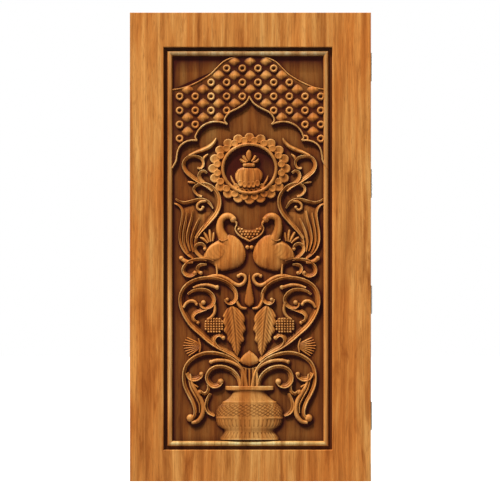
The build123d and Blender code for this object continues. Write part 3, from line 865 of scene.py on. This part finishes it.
# Scrolls and leaves of the left half, each a line with its half widths and crests
upperScrolls = {
    "horn leaf": rib("ridge", [0.5, 2.6, 2.9, 1.8, 1.1], [8, 11, 11, 10.5, 11], [
        (216.3, 138), (213.5, 143), (209, 147), (202.5, 150), (195, 152.7), (189, 155.6)]),
    "upper hook": rib("scoopedBack", [0.9, 1.4, 1.7, 1.9, 2.1, 2.3, 2.3], [10, 11, 11.5, 12, 12, 12, 11.5], [
        (197.3, 167.6), (200.5, 168.2), (203, 165.5), (203, 161.3), (200, 157.8), (194, 156.4),
        (188, 157.6), (184.5, 161.5), (183.8, 166), (186, 171), (190.5, 175.2), (196, 179.2), (202, 182.6),
        (208, 186), (213, 190)]),
    "small hook": rib("scoopedBack", [1, 1.6, 1.9, 1.6], [10, 11.5, 11.5, 10], [
        (206.8, 173), (203.8, 171), (200.5, 172.3), (199.3, 176), (201.3, 180.3), (206, 184)]),
    "stem": rib("scooped", [0.9, 1.3, 1.7, 2.3, 3, 3.4, 2.8, 2, 1.3],
        [10, 11, 12, 12.5, 12.5, 12.5, 12, 11, 10], [
        (202, 196.2), (197.8, 195), (194.4, 191.3), (194.4, 187.6), (197.8, 184.9), (203.5, 184),
        (209, 185.6), (213.5, 189.2), (217, 194.3), (218.4, 200.3), (217.6, 207), (214.6, 213.5),
        (210, 219.5), (204.7, 226), (199.7, 232), (195.5, 238)]),
    "bud by the hook": rib("ridge", [0.5, 2, 0.6], [6, 8.5, 7], [
        (208, 154), (204.5, 157), (203.5, 160)]),
    "bud by the stem": rib("ridge", [0.5, 1.8, 0.8], [6, 8.5, 8], [
        (187.5, 182), (191.5, 182.3), (196, 183)]),
    "sail": rib("scooped", [0.6, 1.5, 2, 2.1, 1.9, 1.5, 0.5], [8, 9.5, 10.5, 11, 11.5, 11.5, 11], [
        (175.5, 198.6), (179, 201.4), (185, 203), (193, 201.5), (200, 199.8), (206, 200.8), (210, 203.8),
        (213, 208.5)]),
    "sail curl": rib("round", [1.3, 1.3, 1.2, 1.1], [11.5, 10.5, 10, 9.5], [
        (206, 200.8), (200.5, 201.8), (197.3, 205), (197.8, 208.8), (201, 209.8), (203, 207.3)], knob=1.6),
    "fan edge": rib("scoopedBack", [0.6, 1.4, 1.9, 2.2, 2.3, 2.1, 1], [7, 9.5, 10.5, 10.5, 10, 9.5, 9], [
        (174.3, 203.3), (178.4, 205), (181.6, 208.7), (183, 214), (182.4, 222), (181, 232), (181, 240),
        (183, 247), (187, 253), (193, 258.5)]),
    "fan blade 1": rib("scoopedBack", [1, 2.7, 2.7, 1], [8, 10.5, 10.5, 8], [
        (187.3, 212.5), (186.6, 222), (185.2, 233), (185, 243), (188, 253)]),
    "fan blade 2": rib("scoopedBack", [1.2, 3.2, 2.8, 1], [8, 10.5, 10.5, 8], [
        (193.4, 210.5), (192.6, 220), (190.2, 230), (188.6, 240), (190.5, 251)]),
    "fan blade 3": rib("scoopedBack", [1.2, 3, 2.5, 1], [8, 10, 10, 8], [
        (200, 218), (197, 226.5), (194, 235), (192.4, 243), (193.6, 252)]),
    "fan blade 4": rib("scoopedBack", [1.1, 2.5, 2.1, 0.9], [8, 10, 10, 8], [
        (204.4, 225.5), (201, 232.5), (197, 239), (195, 246)]),
    "fan curl": rib("scoopedBack", [1.5, 1.6, 1.7, 1.6, 1.3], [10, 11, 11.5, 11, 9.5], [
        (205, 249), (204, 245.8), (200.8, 243.8), (196.8, 245.2), (195.2, 249), (197, 253), (201, 256.6),
        (207, 260)], startKnob=1.9),
    "feather 1": rib("ridge", [1.2, 2.2, 0.9], [8.5, 9.5, 8], [
        (210.6, 241.5), (210.2, 235.5), (209.4, 229.6)]),
    "feather 2": rib("ridge", [1.2, 2.3, 0.9], [8.5, 9.5, 8], [
        (209, 242), (206.4, 236.6), (203.8, 232)]),
    "feather 3": rib("ridge", [1.2, 2.2, 0.9], [8.5, 9, 7.5], [
        (207.6, 243), (203.8, 239.4), (200, 237.4)]),
    "feather 4": rib("ridge", [1.2, 1.8, 0.8], [8.5, 9, 7.5], [
        (212.6, 241), (213.4, 236.6), (213.9, 232.4)]),
}
print("upper scrolls")
carveStrands("upperScrolls", upperScrolls)
fanBed = outline([(183, 209), (188, 206.5), (194, 205), (198.5, 212), (206, 212), (211, 212)],
                 [(211, 212), (205, 224), (196, 237), (196, 246), (204, 260)],
                 [(204, 260), (192, 258), (184.5, 249), (181.5, 240), (181.7, 228), (183, 209)])
raisedShape("upperScrolls", fanBed, pillow(1.0, 2.5, 3.0), spacing=2.0)

# A pair of birds with their necks bent back
bird = {
    "body": [[(229, 234.5), (235, 236.5), (241, 242), (244.8, 249), (246, 255.5), (244.2, 262), (239, 267),
              (231, 270), (223, 271.3), (217.5, 269.5), (213.5, 265)],
             [(213.5, 265), (208, 262), (203.3, 258.5), (205.5, 251.5), (210.5, 245), (217, 241), (223, 238),
              (229, 234.5)]],
    "bodyRound": 14.5,
    "breast": (235.0, 252.0),
    "breastSpread": (7.5, 10.0),
    "wing": [[(204.3, 258), (206.5, 250.5), (212, 244.8), (218.5, 242.3), (224, 244.8), (226.3, 250.5),
              (224, 256.5), (218.5, 260), (211, 260.3), (204.3, 258)]],
    "wingRoot": (228.0, 247.0),
    "wingSlope": 1.3,
    "featherPitch": 4.2,
    "head": (233.0, 219.2),
    "headRadius": 3.7,
    "headCrest": 14.0,
    "limbs": {
        "neck": rib("round", [3.2, 3.7, 3.9, 4.4, 5.2, 6.6, 8.2, 9.4],
            [12.5, 13, 13, 13, 12.8, 12.6, 12.6, 12.4], [
            (233.2, 218.8), (229.8, 216.4), (225.4, 216.4), (221.6, 219.6), (220.2, 225.5), (220.9, 232),
            (223.8, 238.5), (227.5, 245)]),
        "beak": rib("ridge", [1.8, 1.3, 0.4], [11, 10, 8], [
            (234.2, 220.2), (236.4, 223), (236.7, 226.3)]),
        "collar": rib("round", [0.35, 0.5, 0.35], [12.8, 14.1, 13.6], [
            (218.6, 239.2), (221.4, 240.6), (224.6, 240.4), (227.4, 238.8)]),
        "leg": rib("round", [1.2, 1, 1], [10, 10, 10], [
            (216.5, 264), (217, 270), (217.3, 277)]),
        "tail": rib("scoopedBack", [2.6, 2.5, 2.3, 2.1, 1.9], [11.5, 12, 11.5, 11, 10], [
            (213, 262.8), (207, 260.8), (199, 260.2), (191, 261.8), (186, 265.3), (183.6, 269.8),
            (185.3, 274), (190.3, 275.6), (195, 273)], knob=2.4),
        "tail curl": rib("scoopedBack", [0.7, 1.6, 1.8, 1.6], [11, 11, 10], [
            (206.5, 264.6), (201, 265), (197.8, 267.8), (198.4, 271.4), (200.8, 273)], knob=2),
        "bud leaf": rib("round", [2, 2.4, 2, 1.2], [9.5, 10, 10, 9.5], [
            (181.2, 258.2), (184, 260.6), (188.4, 262.2), (193, 262.3)], startKnob=2.5),
    },
}


def birdHeight(points, distance):
    x, y = ((points - np.array(bird["breast"])) / np.array(bird["breastSpread"])).T
    swell = 8.5 * domed(distance, bird["bodyRound"]) + 2.5 * np.exp(-x ** 2 - y ** 2)
    return 3.5 + swell, np.zeros(len(points))


def wingHeight(points, distance):
    x, y = (points - np.array(bird["wingRoot"])).T
    sweep = np.hypot(x, y * bird["wingSlope"])
    feathers = (0.5 - 0.5 * np.cos(sweep * 2 * math.pi / bird["featherPitch"])) ** 3
    cut = 0.22 * feathers * np.clip((distance - 0.6) / 1.5, 0, 1)
    return grooved(8.0 + 5.0 * domed(distance, 3.0), cut, 1.0)


print("birds")
raisedShape("birds", outline(*bird["body"]), birdHeight, spacing=1.3)
raisedShape("birds", outline(*bird["wing"]), wingHeight, spacing=0.7)
carveStrands("birds", bird["limbs"])
carveBeads("birds", bird["headRadius"], bird["headCrest"], [bird["head"]])

# The garland between the beaks
garland = {
    "rim": [(236.6, 225), (235.2, 229), (237.4, 233.6), (241.5, 237), (245.5, 239), (249.5, 241.2)],
    "edge": [(237.5, 224.5), (236, 229), (238, 233.5), (242, 236.8), (249.5, 240.3)],
    "top": [(261.5, 224.5), (257, 228.5), (249.5, 229.8), (242, 228.5), (237.5, 224.5)],
    "firstBead": (249.5, 226.6),
    "beadRadius": 1.3,
    "beadCrest": 9.5,
    "beadPitch": (3.05, 2.623),
    "beadRoom": 0.7,
    "drop": (247.4, 247.3),
    "dropRadius": 2.1,
    "dropCrest": 10.0,
}
garlandLoop = outline(garland["edge"], mirrored(garland["edge"]), garland["top"])
carveStrands("birds", {"garland rim": rib("round", [0.5, 0.8, 0.9], [8.5, 9.5, 10], garland["rim"])})
carveBeads("birds", garland["dropRadius"], garland["dropCrest"], [garland["drop"]])
raisedShape("birds", garlandLoop, pillow(1.5, 3.5, 2.0), spacing=1.6, mirror=False)
carveRepeats("birds", beadShape(garland["beadRadius"], garland["beadCrest"]), placesInside(
    garlandLoop, garland["firstBead"], garland["beadPitch"], stagger=0.5, room=garland["beadRoom"]))


# Heart-shaped scrolls, the hanging leaves and the berries in their eyes
heartScrolls = {
    "heart": rib("scooped", [1.6, 2.5, 2.9, 3, 2.8, 2.6, 2.4, 2, 1.6],
        [10, 11, 12, 12.5, 12.5, 12.5, 12.5, 12, 11], [
        (240, 361), (235, 356), (228, 351.8), (218, 346.3), (210, 341), (201, 333), (192.3, 325),
        (186, 316), (182.2, 307), (181.2, 299.5), (182.4, 293), (186, 287.2), (192, 282.6), (200, 279.7),
        (208, 278.8), (216, 279.3), (224, 281.8), (230.3, 285.8), (235, 291.3), (236.2, 297),
        (234.4, 301.3), (230.5, 303.4), (226.8, 302), (225.6, 299)]),
    "cross scroll": rib("round", [0.9, 1.5, 1.8, 1.8, 1.6, 1.5], [9, 11, 11.5, 12, 11.5, 10], [
        (205, 277.6), (214, 275.7), (221, 276.3), (228, 279.4), (234, 283.6), (239, 285.2), (243.4, 283.2),
        (245.6, 279), (244.6, 275.8), (241, 274.4), (238.4, 276)], knob=1.9),
    "inner heart": rib("scooped", [0.9, 1.5, 2, 2.2, 2, 1.6, 1.4], [9.5, 11, 11.5, 12, 11.5, 11, 10], [
        (187.6, 294.5), (193, 291), (200, 289.8), (207, 291.2), (212.2, 295.7), (213.8, 301),
        (211.5, 305.6), (206.5, 308), (201.8, 306.4), (200.4, 302.8)]),
    "inner stem": rib("round", [0.8, 1.3, 1.5, 1.6], [9, 10, 10, 10.5], [
        (193, 287.8), (200, 285.4), (208, 285), (216.5, 287.5)]),
    "side hook": rib("round", [1.4, 1.6, 1.4], [11, 10.5, 9], [
        (183.5, 307.5), (186.3, 303.2), (190.5, 301), (194.5, 301.6), (196.6, 304.3)], knob=1.7),
    "lower hook": rib("scooped", [1.3, 2, 2.1, 1.8, 1.5], [10.5, 10.5, 10, 9.5, 8], [
        (207.5, 308.6), (201, 310.3), (195.4, 312.6), (192.6, 316.6), (193.8, 320.6),
        (198, 322.8)], knob=1.8),
    "berry stem": rib("round", [1.2, 1.5, 1.5, 1.2], [11, 10.5, 10.5, 9.5], [
        (213.7, 302), (215, 308), (214.3, 313), (211.5, 317), (207.5, 319.6)]),
    "bracket": rib("ridge", [1.2, 1.9, 2, 0.8], [10, 11, 11, 9], [
        (236, 293), (236.8, 301), (240.5, 307.3), (246.5, 308.6)]),
    "foot hook": rib("scooped", [1.7, 2.1, 2.4, 2.2, 1.6], [10, 11, 11.5, 11, 10.5], [
        (223.4, 338), (219.8, 334.9), (215.4, 336.2), (213.2, 340.6), (215.2, 345.6),
        (221, 350.6)], startKnob=2.2),
    "palm cuff": rib("round", [0.7, 1, 0.7], [6.5, 7.5, 6.5], [
        (198.3, 338.5), (200.3, 345.5), (199.5, 352.5)]),
}
palm = {
    "centre": (203.5, 345.8),
    "rays": 8,
    "firstAngle": 152.0,
    "angleStep": 9.24,
    "longest": 20.5,
    "longestRay": 3,
    "squash": 0.92,
}


def palmRay(k):
    angle = math.radians(palm["firstAngle"] + palm["angleStep"] * k)
    x, y = palm["centre"]
    reach = palm["longest"] - 0.5 * abs(k - palm["longestRay"])
    return [(x + r * math.cos(angle), y - r * math.sin(angle) * palm["squash"]) for r in (4.5, 11, 17, reach)]


print("heart scrolls")
carveStrands("heartScrolls", heartScrolls)
spearEdge = [(249.5, 272), (247.9, 281), (245.9, 293), (244.8, 303), (249.5, 307.5)]
raisedShape("heartScrolls", outline(spearEdge, mirrored(spearEdge)), pillow(2.0, 7.5, 3.5), 1.1, mirror=False)
carveStrands("heartScrolls", {f"ray {k}": rib("ridge", [0.7, 1.1, 1.3, 0.6], [5.5, 6, 5.5, 4], palmRay(k))
                              for k in range(palm["rays"])})
leaf = {
    "edges": [[(231.6, 304.4), (226.5, 309.5), (222.8, 316), (223.6, 318.5), (222.2, 323), (224.4, 326.5),
               (223.6, 331), (227, 335.5), (227.6, 340.5), (231, 345), (233, 350.5), (237.2, 357)],
              [(237.2, 357), (241, 350), (241.6, 344.5), (244.4, 340), (243.4, 334.5), (246, 329.5),
               (244.3, 324), (245.2, 319), (242.2, 313), (238, 308.4), (231.6, 304.4)]],
    "rib": [(231.6, 304.4), (233.6, 318), (235.3, 334), (237.2, 357)],
    "round": 4.0,
    "veinPitch": 4.4,
    "veinSlope": 1.5,
    "veinDepth": 1.8,
}
leafRib = smoothRun(leaf["rib"], 2.0)


def leafHeight(points, distance):
    aside = points[:, 0] - np.interp(points[:, 1], leafRib[:, 1], leafRib[:, 0])
    along = points[:, 1] - np.abs(aside) * leaf["veinSlope"]
    veins = (0.5 + 0.5 * np.cos(along * 2 * math.pi / leaf["veinPitch"])) ** 2
    crease = np.exp(-(aside / 0.8) ** 2) * np.clip(distance / 2, 0, 1)
    dished = 2.0 * np.exp(-((np.abs(aside) - 4.5) / 2.5) ** 2)
    cut = 0.5 * veins * np.clip(np.abs(aside) / 2.5, 0, 1) + 0.8 * crease
    return grooved(4.0 + 6.5 * domed(distance, leaf["round"]) - dished, cut, leaf["veinDepth"])


raisedShape("heartScrolls", outline(*leaf["edges"]), leafHeight, spacing=0.8)
# the round eyes of the scrolls, each with its place and its size
eyes = {
    "radius": 1.7,
    "crest": 12.5,
    "places": [(203.4, 302.6, 1.4), (217.0, 287.4, 1.3), (227.2, 299.6, 1.1)],
}
carveBeads("heartScrolls", eyes["radius"], eyes["crest"], eyes["places"])

berries = {
    "bed": [[(207, 318.5), (214, 317.5), (221, 318.5)], [(221, 318.5), (223.6, 323), (223.4, 329)],
            [(223.4, 329), (219.5, 332.4), (214, 333), (208.5, 332.4)],
            [(208.5, 332.4), (204.6, 329), (204.4, 323), (207, 318.5)]],
    "first": (214, 319.025),
    "pitch": (2.75, 2.55),
    "radius": 1.08,
    "crest": 10.0,
}
berryBed = outline(*berries["bed"])
raisedShape("heartScrolls", berryBed, pillow(2.5, 5.0, 2.5), spacing=1.4)
carveRepeats("heartScrolls", beadShape(berries["radius"], berries["crest"]),
             withMirror(placesInside(berryBed, berries["first"], berries["pitch"])))

# The bunch that rises from the vase
vaseScrolls = {
    "outer arm": rib("scoopedBack", [1.8, 2.2, 2.6, 3, 3, 3, 3.2, 3.4, 3.4, 3.4, 3, 2.2],
        [11, 12, 12.5, 12.5, 12, 11.5, 11, 11, 11, 11.5, 12, 12], [
        (244, 387), (243, 376), (239.3, 367.5), (232.5, 361), (224, 356.8), (214, 354.4), (204.5, 354.8),
        (196, 358.2), (189.5, 363.6), (186.2, 370.3), (185.4, 378), (186.6, 386), (190.2, 394),
        (194.2, 402), (196.4, 409.5), (196, 415.2), (193.2, 419), (190.5, 420)]),
    "outer arm fold": rib("round", [0.8, 1.5, 1.9, 2.2, 2.4, 2.5, 2.3, 1.6],
        [9, 11, 11.5, 11.5, 11.5, 12, 12, 11.5], [
        (190.2, 374), (192.2, 384), (196.6, 392.5), (201.2, 400.5), (203.2, 408.5), (201.8, 416),
        (197.4, 421.4), (191.5, 422.6)]),
    "outer arm flute": rib("ridge", [0.4, 0.8, 1.1, 0.9, 0.4], [8, 9.5, 10, 10, 9], [
        (188.4, 378), (190.8, 388), (195.6, 397), (199.3, 405), (199.4, 413)]),
    "outer arm volute": rib("scoopedBack", [1.8, 2.6, 2.7, 2.2], [11, 11.5, 11.5, 10.5], [
        (186.8, 373), (190, 377.8), (195, 379), (199.6, 377), (201.2, 374.3)], knob=2.4),
    "middle arm": rib("round", [1.5, 1.6, 1.7, 1.7, 1.6], [11, 11, 11, 10.5, 10], [
        (247, 387), (245, 376), (241, 368), (233.5, 363), (226, 360.8), (217, 360.4),
        (211, 362)], knob=2.2),
    "inner arm": rib("scoopedBack", [1.6, 2.2, 2.6, 2.8, 2.7, 2.6, 2.8],
        [11, 12, 12.5, 12.5, 12.5, 12.5, 12], [
        (240, 386), (238, 378), (232, 371.5), (224.5, 368.3), (217, 368), (211, 371), (208, 376.6),
        (208.8, 382), (213, 385.7), (218, 385), (220.6, 381.8)], knob=3.3),
    "vase hook": rib("scooped", [2.6, 3, 2.8, 2.2], [10, 11, 11, 10.5], [
        (199.6, 392.4), (203.5, 395.3), (207.8, 393.6), (209.7, 389), (209, 384.5)], startKnob=2.8),
    "small leaf": rib("ridge", [0.8, 1.8, 0.8], [7, 9, 7], [
        (191.5, 384.5), (194.5, 385.2), (198, 387.4)]),
    "side leaf": rib("scoopedBack", [1.2, 2.6, 3.4, 3, 1], [9, 10, 10.5, 10, 8], [
        (210.4, 393.5), (208.4, 400), (207.6, 406.5), (209.6, 411.8), (214.6, 416)]),
}
print("vase scrolls")
carveStrands("vaseScrolls", vaseScrolls)
footBead = {"place": (190.3, 418.3), "radius": 4.2, "crest": 14.5}
carveBeads("vaseScrolls", footBead["radius"], footBead["crest"], [footBead["place"]])
budEdge = [(249.5, 350.5), (243.5, 355.3), (240, 361.3), (243.5, 364.6), (249.5, 366.6)]
raisedShape("vaseScrolls", outline(budEdge, mirrored(budEdge)), pillow(5.0, 13.5, 6.0), 1.2, mirror=False)
stem = {
    "edges": [[(242.5, 367), (249.5, 368.5), (256.5, 367)], [(256.5, 367), (258, 377), (258.5, 387.5)],
              [(258.5, 387.5), (240.5, 387.5)], [(240.5, 387.5), (241, 377), (242.5, 367)]],
    "crest": 9.5,
    "flutePitch": 3.6,
    "fluteDepth": 4.0,
}


def stemHeight(points, distance):
    flutes = 0.5 - 0.5 * np.cos((points[:, 0] - grid["axis"]) * 2 * math.pi / stem["flutePitch"])
    cut = flutes * np.clip(distance / 1.5, 0.2, 1)
    return grooved(np.full(len(points), stem["crest"]), cut, stem["fluteDepth"])


raisedShape("vaseScrolls", outline(*stem["edges"]), stemHeight, spacing=0.7, mirror=False)

# The vase: half widths from rim to foot
vase = {
    "profile": [(386.2, 23.5), (386.6, 24.1), (389.6, 24.1), (390.2, 23.2), (390.8, 17.5), (393, 17.0),
                (396, 18.5), (399.5, 22.3), (401.3, 25.6), (401.8, 27.2), (403.4, 27.4), (404, 27.8),
                (407, 31.6), (411, 33.6), (415, 34.0), (417.6, 33.8), (419.4, 33.6), (422, 33.3),
                (425.5, 31.8), (428.0, 28.8), (429.6, 26.2), (431.5, 24.8), (433.5, 25.8), (436, 27.8),
                (437.4, 28.8), (438, 29.2), (439.9, 29.3)],
    "columns": 170,
    "rowPitch": 0.36,
    "swell": (4.0, 8.5),
    "bands": [(386.4, 389.8), (401.6, 403.6), (417.4, 418.8)],
    "bandRise": 1.0,
    "weaveRows": (404.6, 416.8),
    "weavePitch": (3.1, 3.6),
    "weaveTurn": (20.46, 16.368),
    "petalRows": [(419.4, 426.8), (432.5, 438.0)],
    "petalWidths": (4.6, 5.4),
    "petalTurn": 33.0,
    "cutDepth": 2.0,
    "stain": 0.18,
}


def vaseCut(turn, y):
    # the woven band, the petals under it and the ring of petals at the foot
    low, high = vase["weaveRows"]
    if low < y < high:
        one, other = (turn * share for share in vase["weaveTurn"])
        lines = ((one + y) / vase["weavePitch"][0], (other - y) / vase["weavePitch"][1])
        return 0.55 * max(0.0, 1 - 1.5 * min(abs(math.sin(line * math.pi)) for line in lines))
    for (low, high), petal in zip(vase["petalRows"], vase["petalWidths"]):
        if low < y < high:
            edge = abs(math.sin(turn * vase["petalTurn"] * math.pi / petal))
            arch = 1 - abs(2 * (y - low) / (high - low) - 1)
            return 0.6 * max(0.0, 0.65 - edge * (0.6 + 0.8 * arch))
    return 0.0


def carveVase():
    rows, halves = np.array(vase["profile"]).T
    down = np.unique(np.concatenate([rows, np.arange(rows[0], rows[-1], vase["rowPitch"])]))
    across = np.sin(np.linspace(-math.pi / 2, math.pi / 2, vase["columns"] + 1))
    least, more = vase["swell"]
    points, addedShade = [], []
    for y in down:
        half = np.interp(y, rows, halves)
        swell = least + more * (half / halves.max()) ** 0.8
        band = vase["bandRise"] * any(low < y < high for low, high in vase["bands"])
        for a in across:
            cut = vaseCut(math.asin(a), y)
            height = swell * math.sqrt(max(1 - a * a, 0)) + 2 - a ** 8 + band - vase["cutDepth"] * cut
            points.append((gridX(grid["axis"] + a * half), floorY - height * mm, gridZ(y)))
            # painted shade in the cuts, and the whole vase a little darker
            addedShade.append(min(1.0, cut + vase["stain"]))
    vertices, faces = backedGrid(points, vase["columns"], floorY + rootDepth)
    # the walls and back get full painted shade
    keepShell("vase", vertices, faces, addedShade + [1.0] * (len(vertices) - len(points)))


print("vase")
carveVase()


# How much deeper each point lies than what stands round it, for the painted shade and highlights
relief = {
    "cell": 2.0 * mm,
    "margin": 30.0 * mm,
    "nearSpread": 3.0,
    "farSpread": 8.0,
    "crestSpread": 3.0,
    "nearFull": 4.0 * mm,
    "farFull": 7.0 * mm,
    "crestFull": 5.0 * mm,
    "crestFrom": 0.25,
    "share": 0.55,
    "openGround": 0.45,
    "clearHeight": 10.0 * mm,
    "grooveStain": 0.34,
    "shade": (2.5, -4.5),
    "underBead": 0.5,
    "underBeadReach": 76.0 * mm,
}

for parts in shells.values():
    for points, *_ in parts:
        proud = points[:, 1] < floorY
        points[proud, 1] = floorY + (points[proud, 1] - floorY) * reliefScale
        points[:, 1] = np.maximum(points[:, 1], faceY + 0.5 * mm)


def blurred(field, spread):
    reach = int(spread * 3)
    weights = np.exp(-0.5 * (np.arange(-reach, reach + 1) / spread) ** 2)
    weights /= weights.sum()
    for axis in (0, 1):
        padding = [(reach, reach) if axis == k else (0, 0) for k in (0, 1)]
        padded = np.pad(field, padding, mode="edge")
        field = sum(w * np.take(padded, np.arange(field.shape[axis]) + k, axis=axis)
                    for k, w in enumerate(weights))
    return field


def reliefMap():
    # how high the carving and what frames it stand over the ground, seen from the front
    meshes = [part[:2] for parts in shells.values() for part in parts]
    for node in ("leaf_frame", "moulding_top", "moulding_bottom", "moulding_left", "moulding_right"):
        mesh = frame["nodes"][node].data
        meshes.append(([tuple(v.co) for v in mesh.vertices], [tuple(f.vertices) for f in mesh.polygons]))
    vertices, faces = [], []
    for points, polygons in meshes:
        faces.extend(tuple(len(vertices) + i for i in face) for face in polygons)
        vertices.extend(map(tuple, points))
    tree = BVHTree.FromPolygons(vertices, faces)
    xs = np.arange(panelLow.x - relief["margin"], panelHigh.x + relief["margin"], relief["cell"])
    zs = np.arange(panelLow.z - relief["margin"], panelHigh.z + relief["margin"], relief["cell"])
    heights = np.zeros((len(zs), len(xs)))
    for j, z in enumerate(zs):
        for i, x in enumerate(xs):
            hit = tree.ray_cast(Vector((x, faceY - relief["margin"], z)), Vector((0, 1, 0)))[0]
            heights[j, i] = floorY - hit.y if hit else 0.0
    return xs, zs, heights


def sampled(field, points):
    u = np.clip((points[:, 0] - reliefX[0]) / relief["cell"], 0, len(reliefX) - 1.001)
    v = np.clip((points[:, 2] - reliefZ[0]) / relief["cell"], 0, len(reliefZ) - 1.001)
    i, j = u.astype(int), v.astype(int)
    s, t = u - i, v - j
    return ((field[j, i] * (1 - s) + field[j, i + 1] * s) * (1 - t)
            + (field[j + 1, i] * (1 - s) + field[j + 1, i + 1] * s) * t)


print("measuring the relief")
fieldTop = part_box("moulding_top")[0][2]
reliefX, reliefZ, reliefHeights = reliefMap()
nearLevel, farLevel, crestLevel = (blurred(reliefHeights, relief[spread])
                                   for spread in ("nearSpread", "farSpread", "crestSpread"))


def hollowness(points):
    height = floorY - points[:, 1]
    # the painted shade is moved below and to the right of what stands up, where a shadow from the upper left
    # falls
    shadowShifted = points - np.array([relief["shade"][0], 0, relief["shade"][1]]) * relief["cell"]
    near = np.clip((sampled(nearLevel, shadowShifted) - height) / relief["nearFull"], 0, 1)
    far = np.clip((sampled(farLevel, shadowShifted) - height) / relief["farFull"], 0, 1)
    low = np.clip(1 - height / relief["clearHeight"], 0, 1)
    # a painted shadow lies along the top of the field under the moulding's overhang, fading downwards
    below = np.clip(1 - (fieldTop - points[:, 2]) / relief["underBeadReach"], 0, 1)
    # painted shade beside tall forms, on all low ground and under the top moulding
    hollow = np.clip(relief["share"] * (near + far)
                     + (relief["openGround"] + relief["underBead"] * below) * low, 0, 1)
    # a painted highlight on the crests, partly as rubbed wear
    crest = (height - sampled(crestLevel, points)) / relief["crestFull"] - relief["crestFrom"]
    return 0.5 + 0.5 * hollow - 0.5 * np.clip(crest, 0, 1)


creaseAngle = math.radians(50)


def finishedPiece(name, parts):
    mesh = bpy.data.meshes.new(name)
    faces, offset = [], 0
    for points, polygons, cuts in parts:
        faces.extend(tuple(offset + i for i in face) for face in polygons)
        offset += len(points)
    vertices = np.vstack([part[0] for part in parts])
    addedShade = np.concatenate([part[2] for part in parts])
    mesh.from_pydata(vertices.tolist(), [], faces)
    mesh.validate()
    # the painted shade and highlight level is kept in the hollow attribute, which the carved wood reads
    layer = mesh.attributes.new("hollow", "FLOAT", "POINT")
    layer.data.foreach_set("value", np.clip(hollowness(vertices) + relief["grooveStain"] * addedShade, 0, 1))
    mesh.polygons.foreach_set("use_smooth", [True] * len(mesh.polygons))
    mesh.set_sharp_from_angle(angle=creaseAngle)
    mesh.materials.append(carvedWood)
    piece = bpy.data.objects.new(name, mesh)
    bpy.context.collection.objects.link(piece)
    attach(piece, "leaf")
    return piece


for name, parts in shells.items():
    piece = finishedPiece(name, parts)
    if name == "carvedGround":
        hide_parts("carved_panel")
    count = sum(len(p.vertices) - 2 for p in piece.data.polygons)
    print(name, count, "triangles")


# Studio: pale floor, white surroundings, soft light from the upper left
# Each lamp has its place from the leaf's middle, its size and its power.
studio = {
    "cameraDistance": 12.0,
    "pixels": 500,
    "key": (Vector((-0.38, -0.41, 1.0)).normalized() * 25.0, 2.2, 13800.0),
    "fill": (Vector((1.5, -6.0, 0.5)), 4.0, 8.0),
    "back": (Vector((2.5, 5.0, 1.8)), 3.0, 300.0),
    "sky": (1.0, 0.99, 0.97, 1.0),
    "ambient": 0.045,
    "floorColour": (0.35, 0.345, 0.34, 1.0),
    "floorGlow": 0.93,
    "floorReach": 14.0,
}


def placed(name, data, place, turn=(0.0, 0.0, 0.0)):
    item = bpy.data.objects.new(name, data)
    item.location = place
    item.rotation_euler = turn
    bpy.context.collection.objects.link(item)
    return item


middle = Vector((0.0, 0.0, (leafLow.z + leafHigh.z) / 2))
for name in ("key", "fill", "back"):
    away, size, power = studio[name]
    light = bpy.data.lights.new(name, "AREA")
    light.size = size
    light.energy = power
    placed(name, light, middle + away, (-away).to_track_quat("-Z", "Y").to_euler())

camera = bpy.data.cameras.new("camera")
camera.sensor_width = 36.0
camera.lens = camera.sensor_width * studio["cameraDistance"] / (studio["pixels"] * step)
camera.clip_end = 100.0
eye = gridX(studio["pixels"] / 2), faceY - studio["cameraDistance"], gridZ(studio["pixels"] / 2)
bpy.context.scene.camera = placed("camera", camera, eye, (math.radians(90), 0.0, 0.0))
bpy.context.scene.view_settings.view_transform = "Standard"

# what the camera, a gloss or a clear ray meets is white, and what lights the object is the sky
world = bpy.data.worlds.new("studio")
bpy.context.scene.world = world
world.use_nodes = True
tree = world.node_tree
tree.nodes.clear()
path = addNode(tree, "ShaderNodeLightPath").outputs
seen = mathNode(tree, "MAXIMUM", path["Is Camera Ray"], path["Is Transmission Ray"])
seen = mathNode(tree, "MAXIMUM", seen, path["Is Glossy Ray"])
sky = addNode(tree, "ShaderNodeBackground", {"Color": studio["sky"], "Strength": studio["ambient"]})
white = addNode(tree, "ShaderNodeBackground", {"Color": (1.0, 1.0, 1.0, 1.0), "Strength": 1.0})
mixed = addNode(tree, "ShaderNodeMixShader", {0: seen, 1: sky.outputs[0], 2: white.outputs[0]})
addNode(tree, "ShaderNodeOutputWorld", {"Surface": mixed.outputs[0]})

floorMaterial, tree = newMaterial("pale floor")
shade = addNode(tree, "ShaderNodeBsdfDiffuse", {"Color": studio["floorColour"]})
seen = addNode(tree, "ShaderNodeLightPath").outputs["Is Camera Ray"]
glow = addNode(tree, "ShaderNodeEmission", {
    "Strength": mathNode(tree, "MULTIPLY", seen, studio["floorGlow"])})
both = addNode(tree, "ShaderNodeAddShader", {0: shade.outputs[0], 1: glow.outputs[0]})
addNode(tree, "ShaderNodeOutputMaterial", {"Surface": both.outputs[0]})
floorMesh = bpy.data.meshes.new("floor")
reach = studio["floorReach"]
floorMesh.from_pydata([(-reach, -reach, 0), (reach, -reach, 0), (reach, reach, 0), (-reach, reach, 0)], [],
                      [(0, 1, 2, 3)])
floorMesh.materials.append(floorMaterial)
placed("floor", floorMesh, (0.0, 0.0, 0.0))
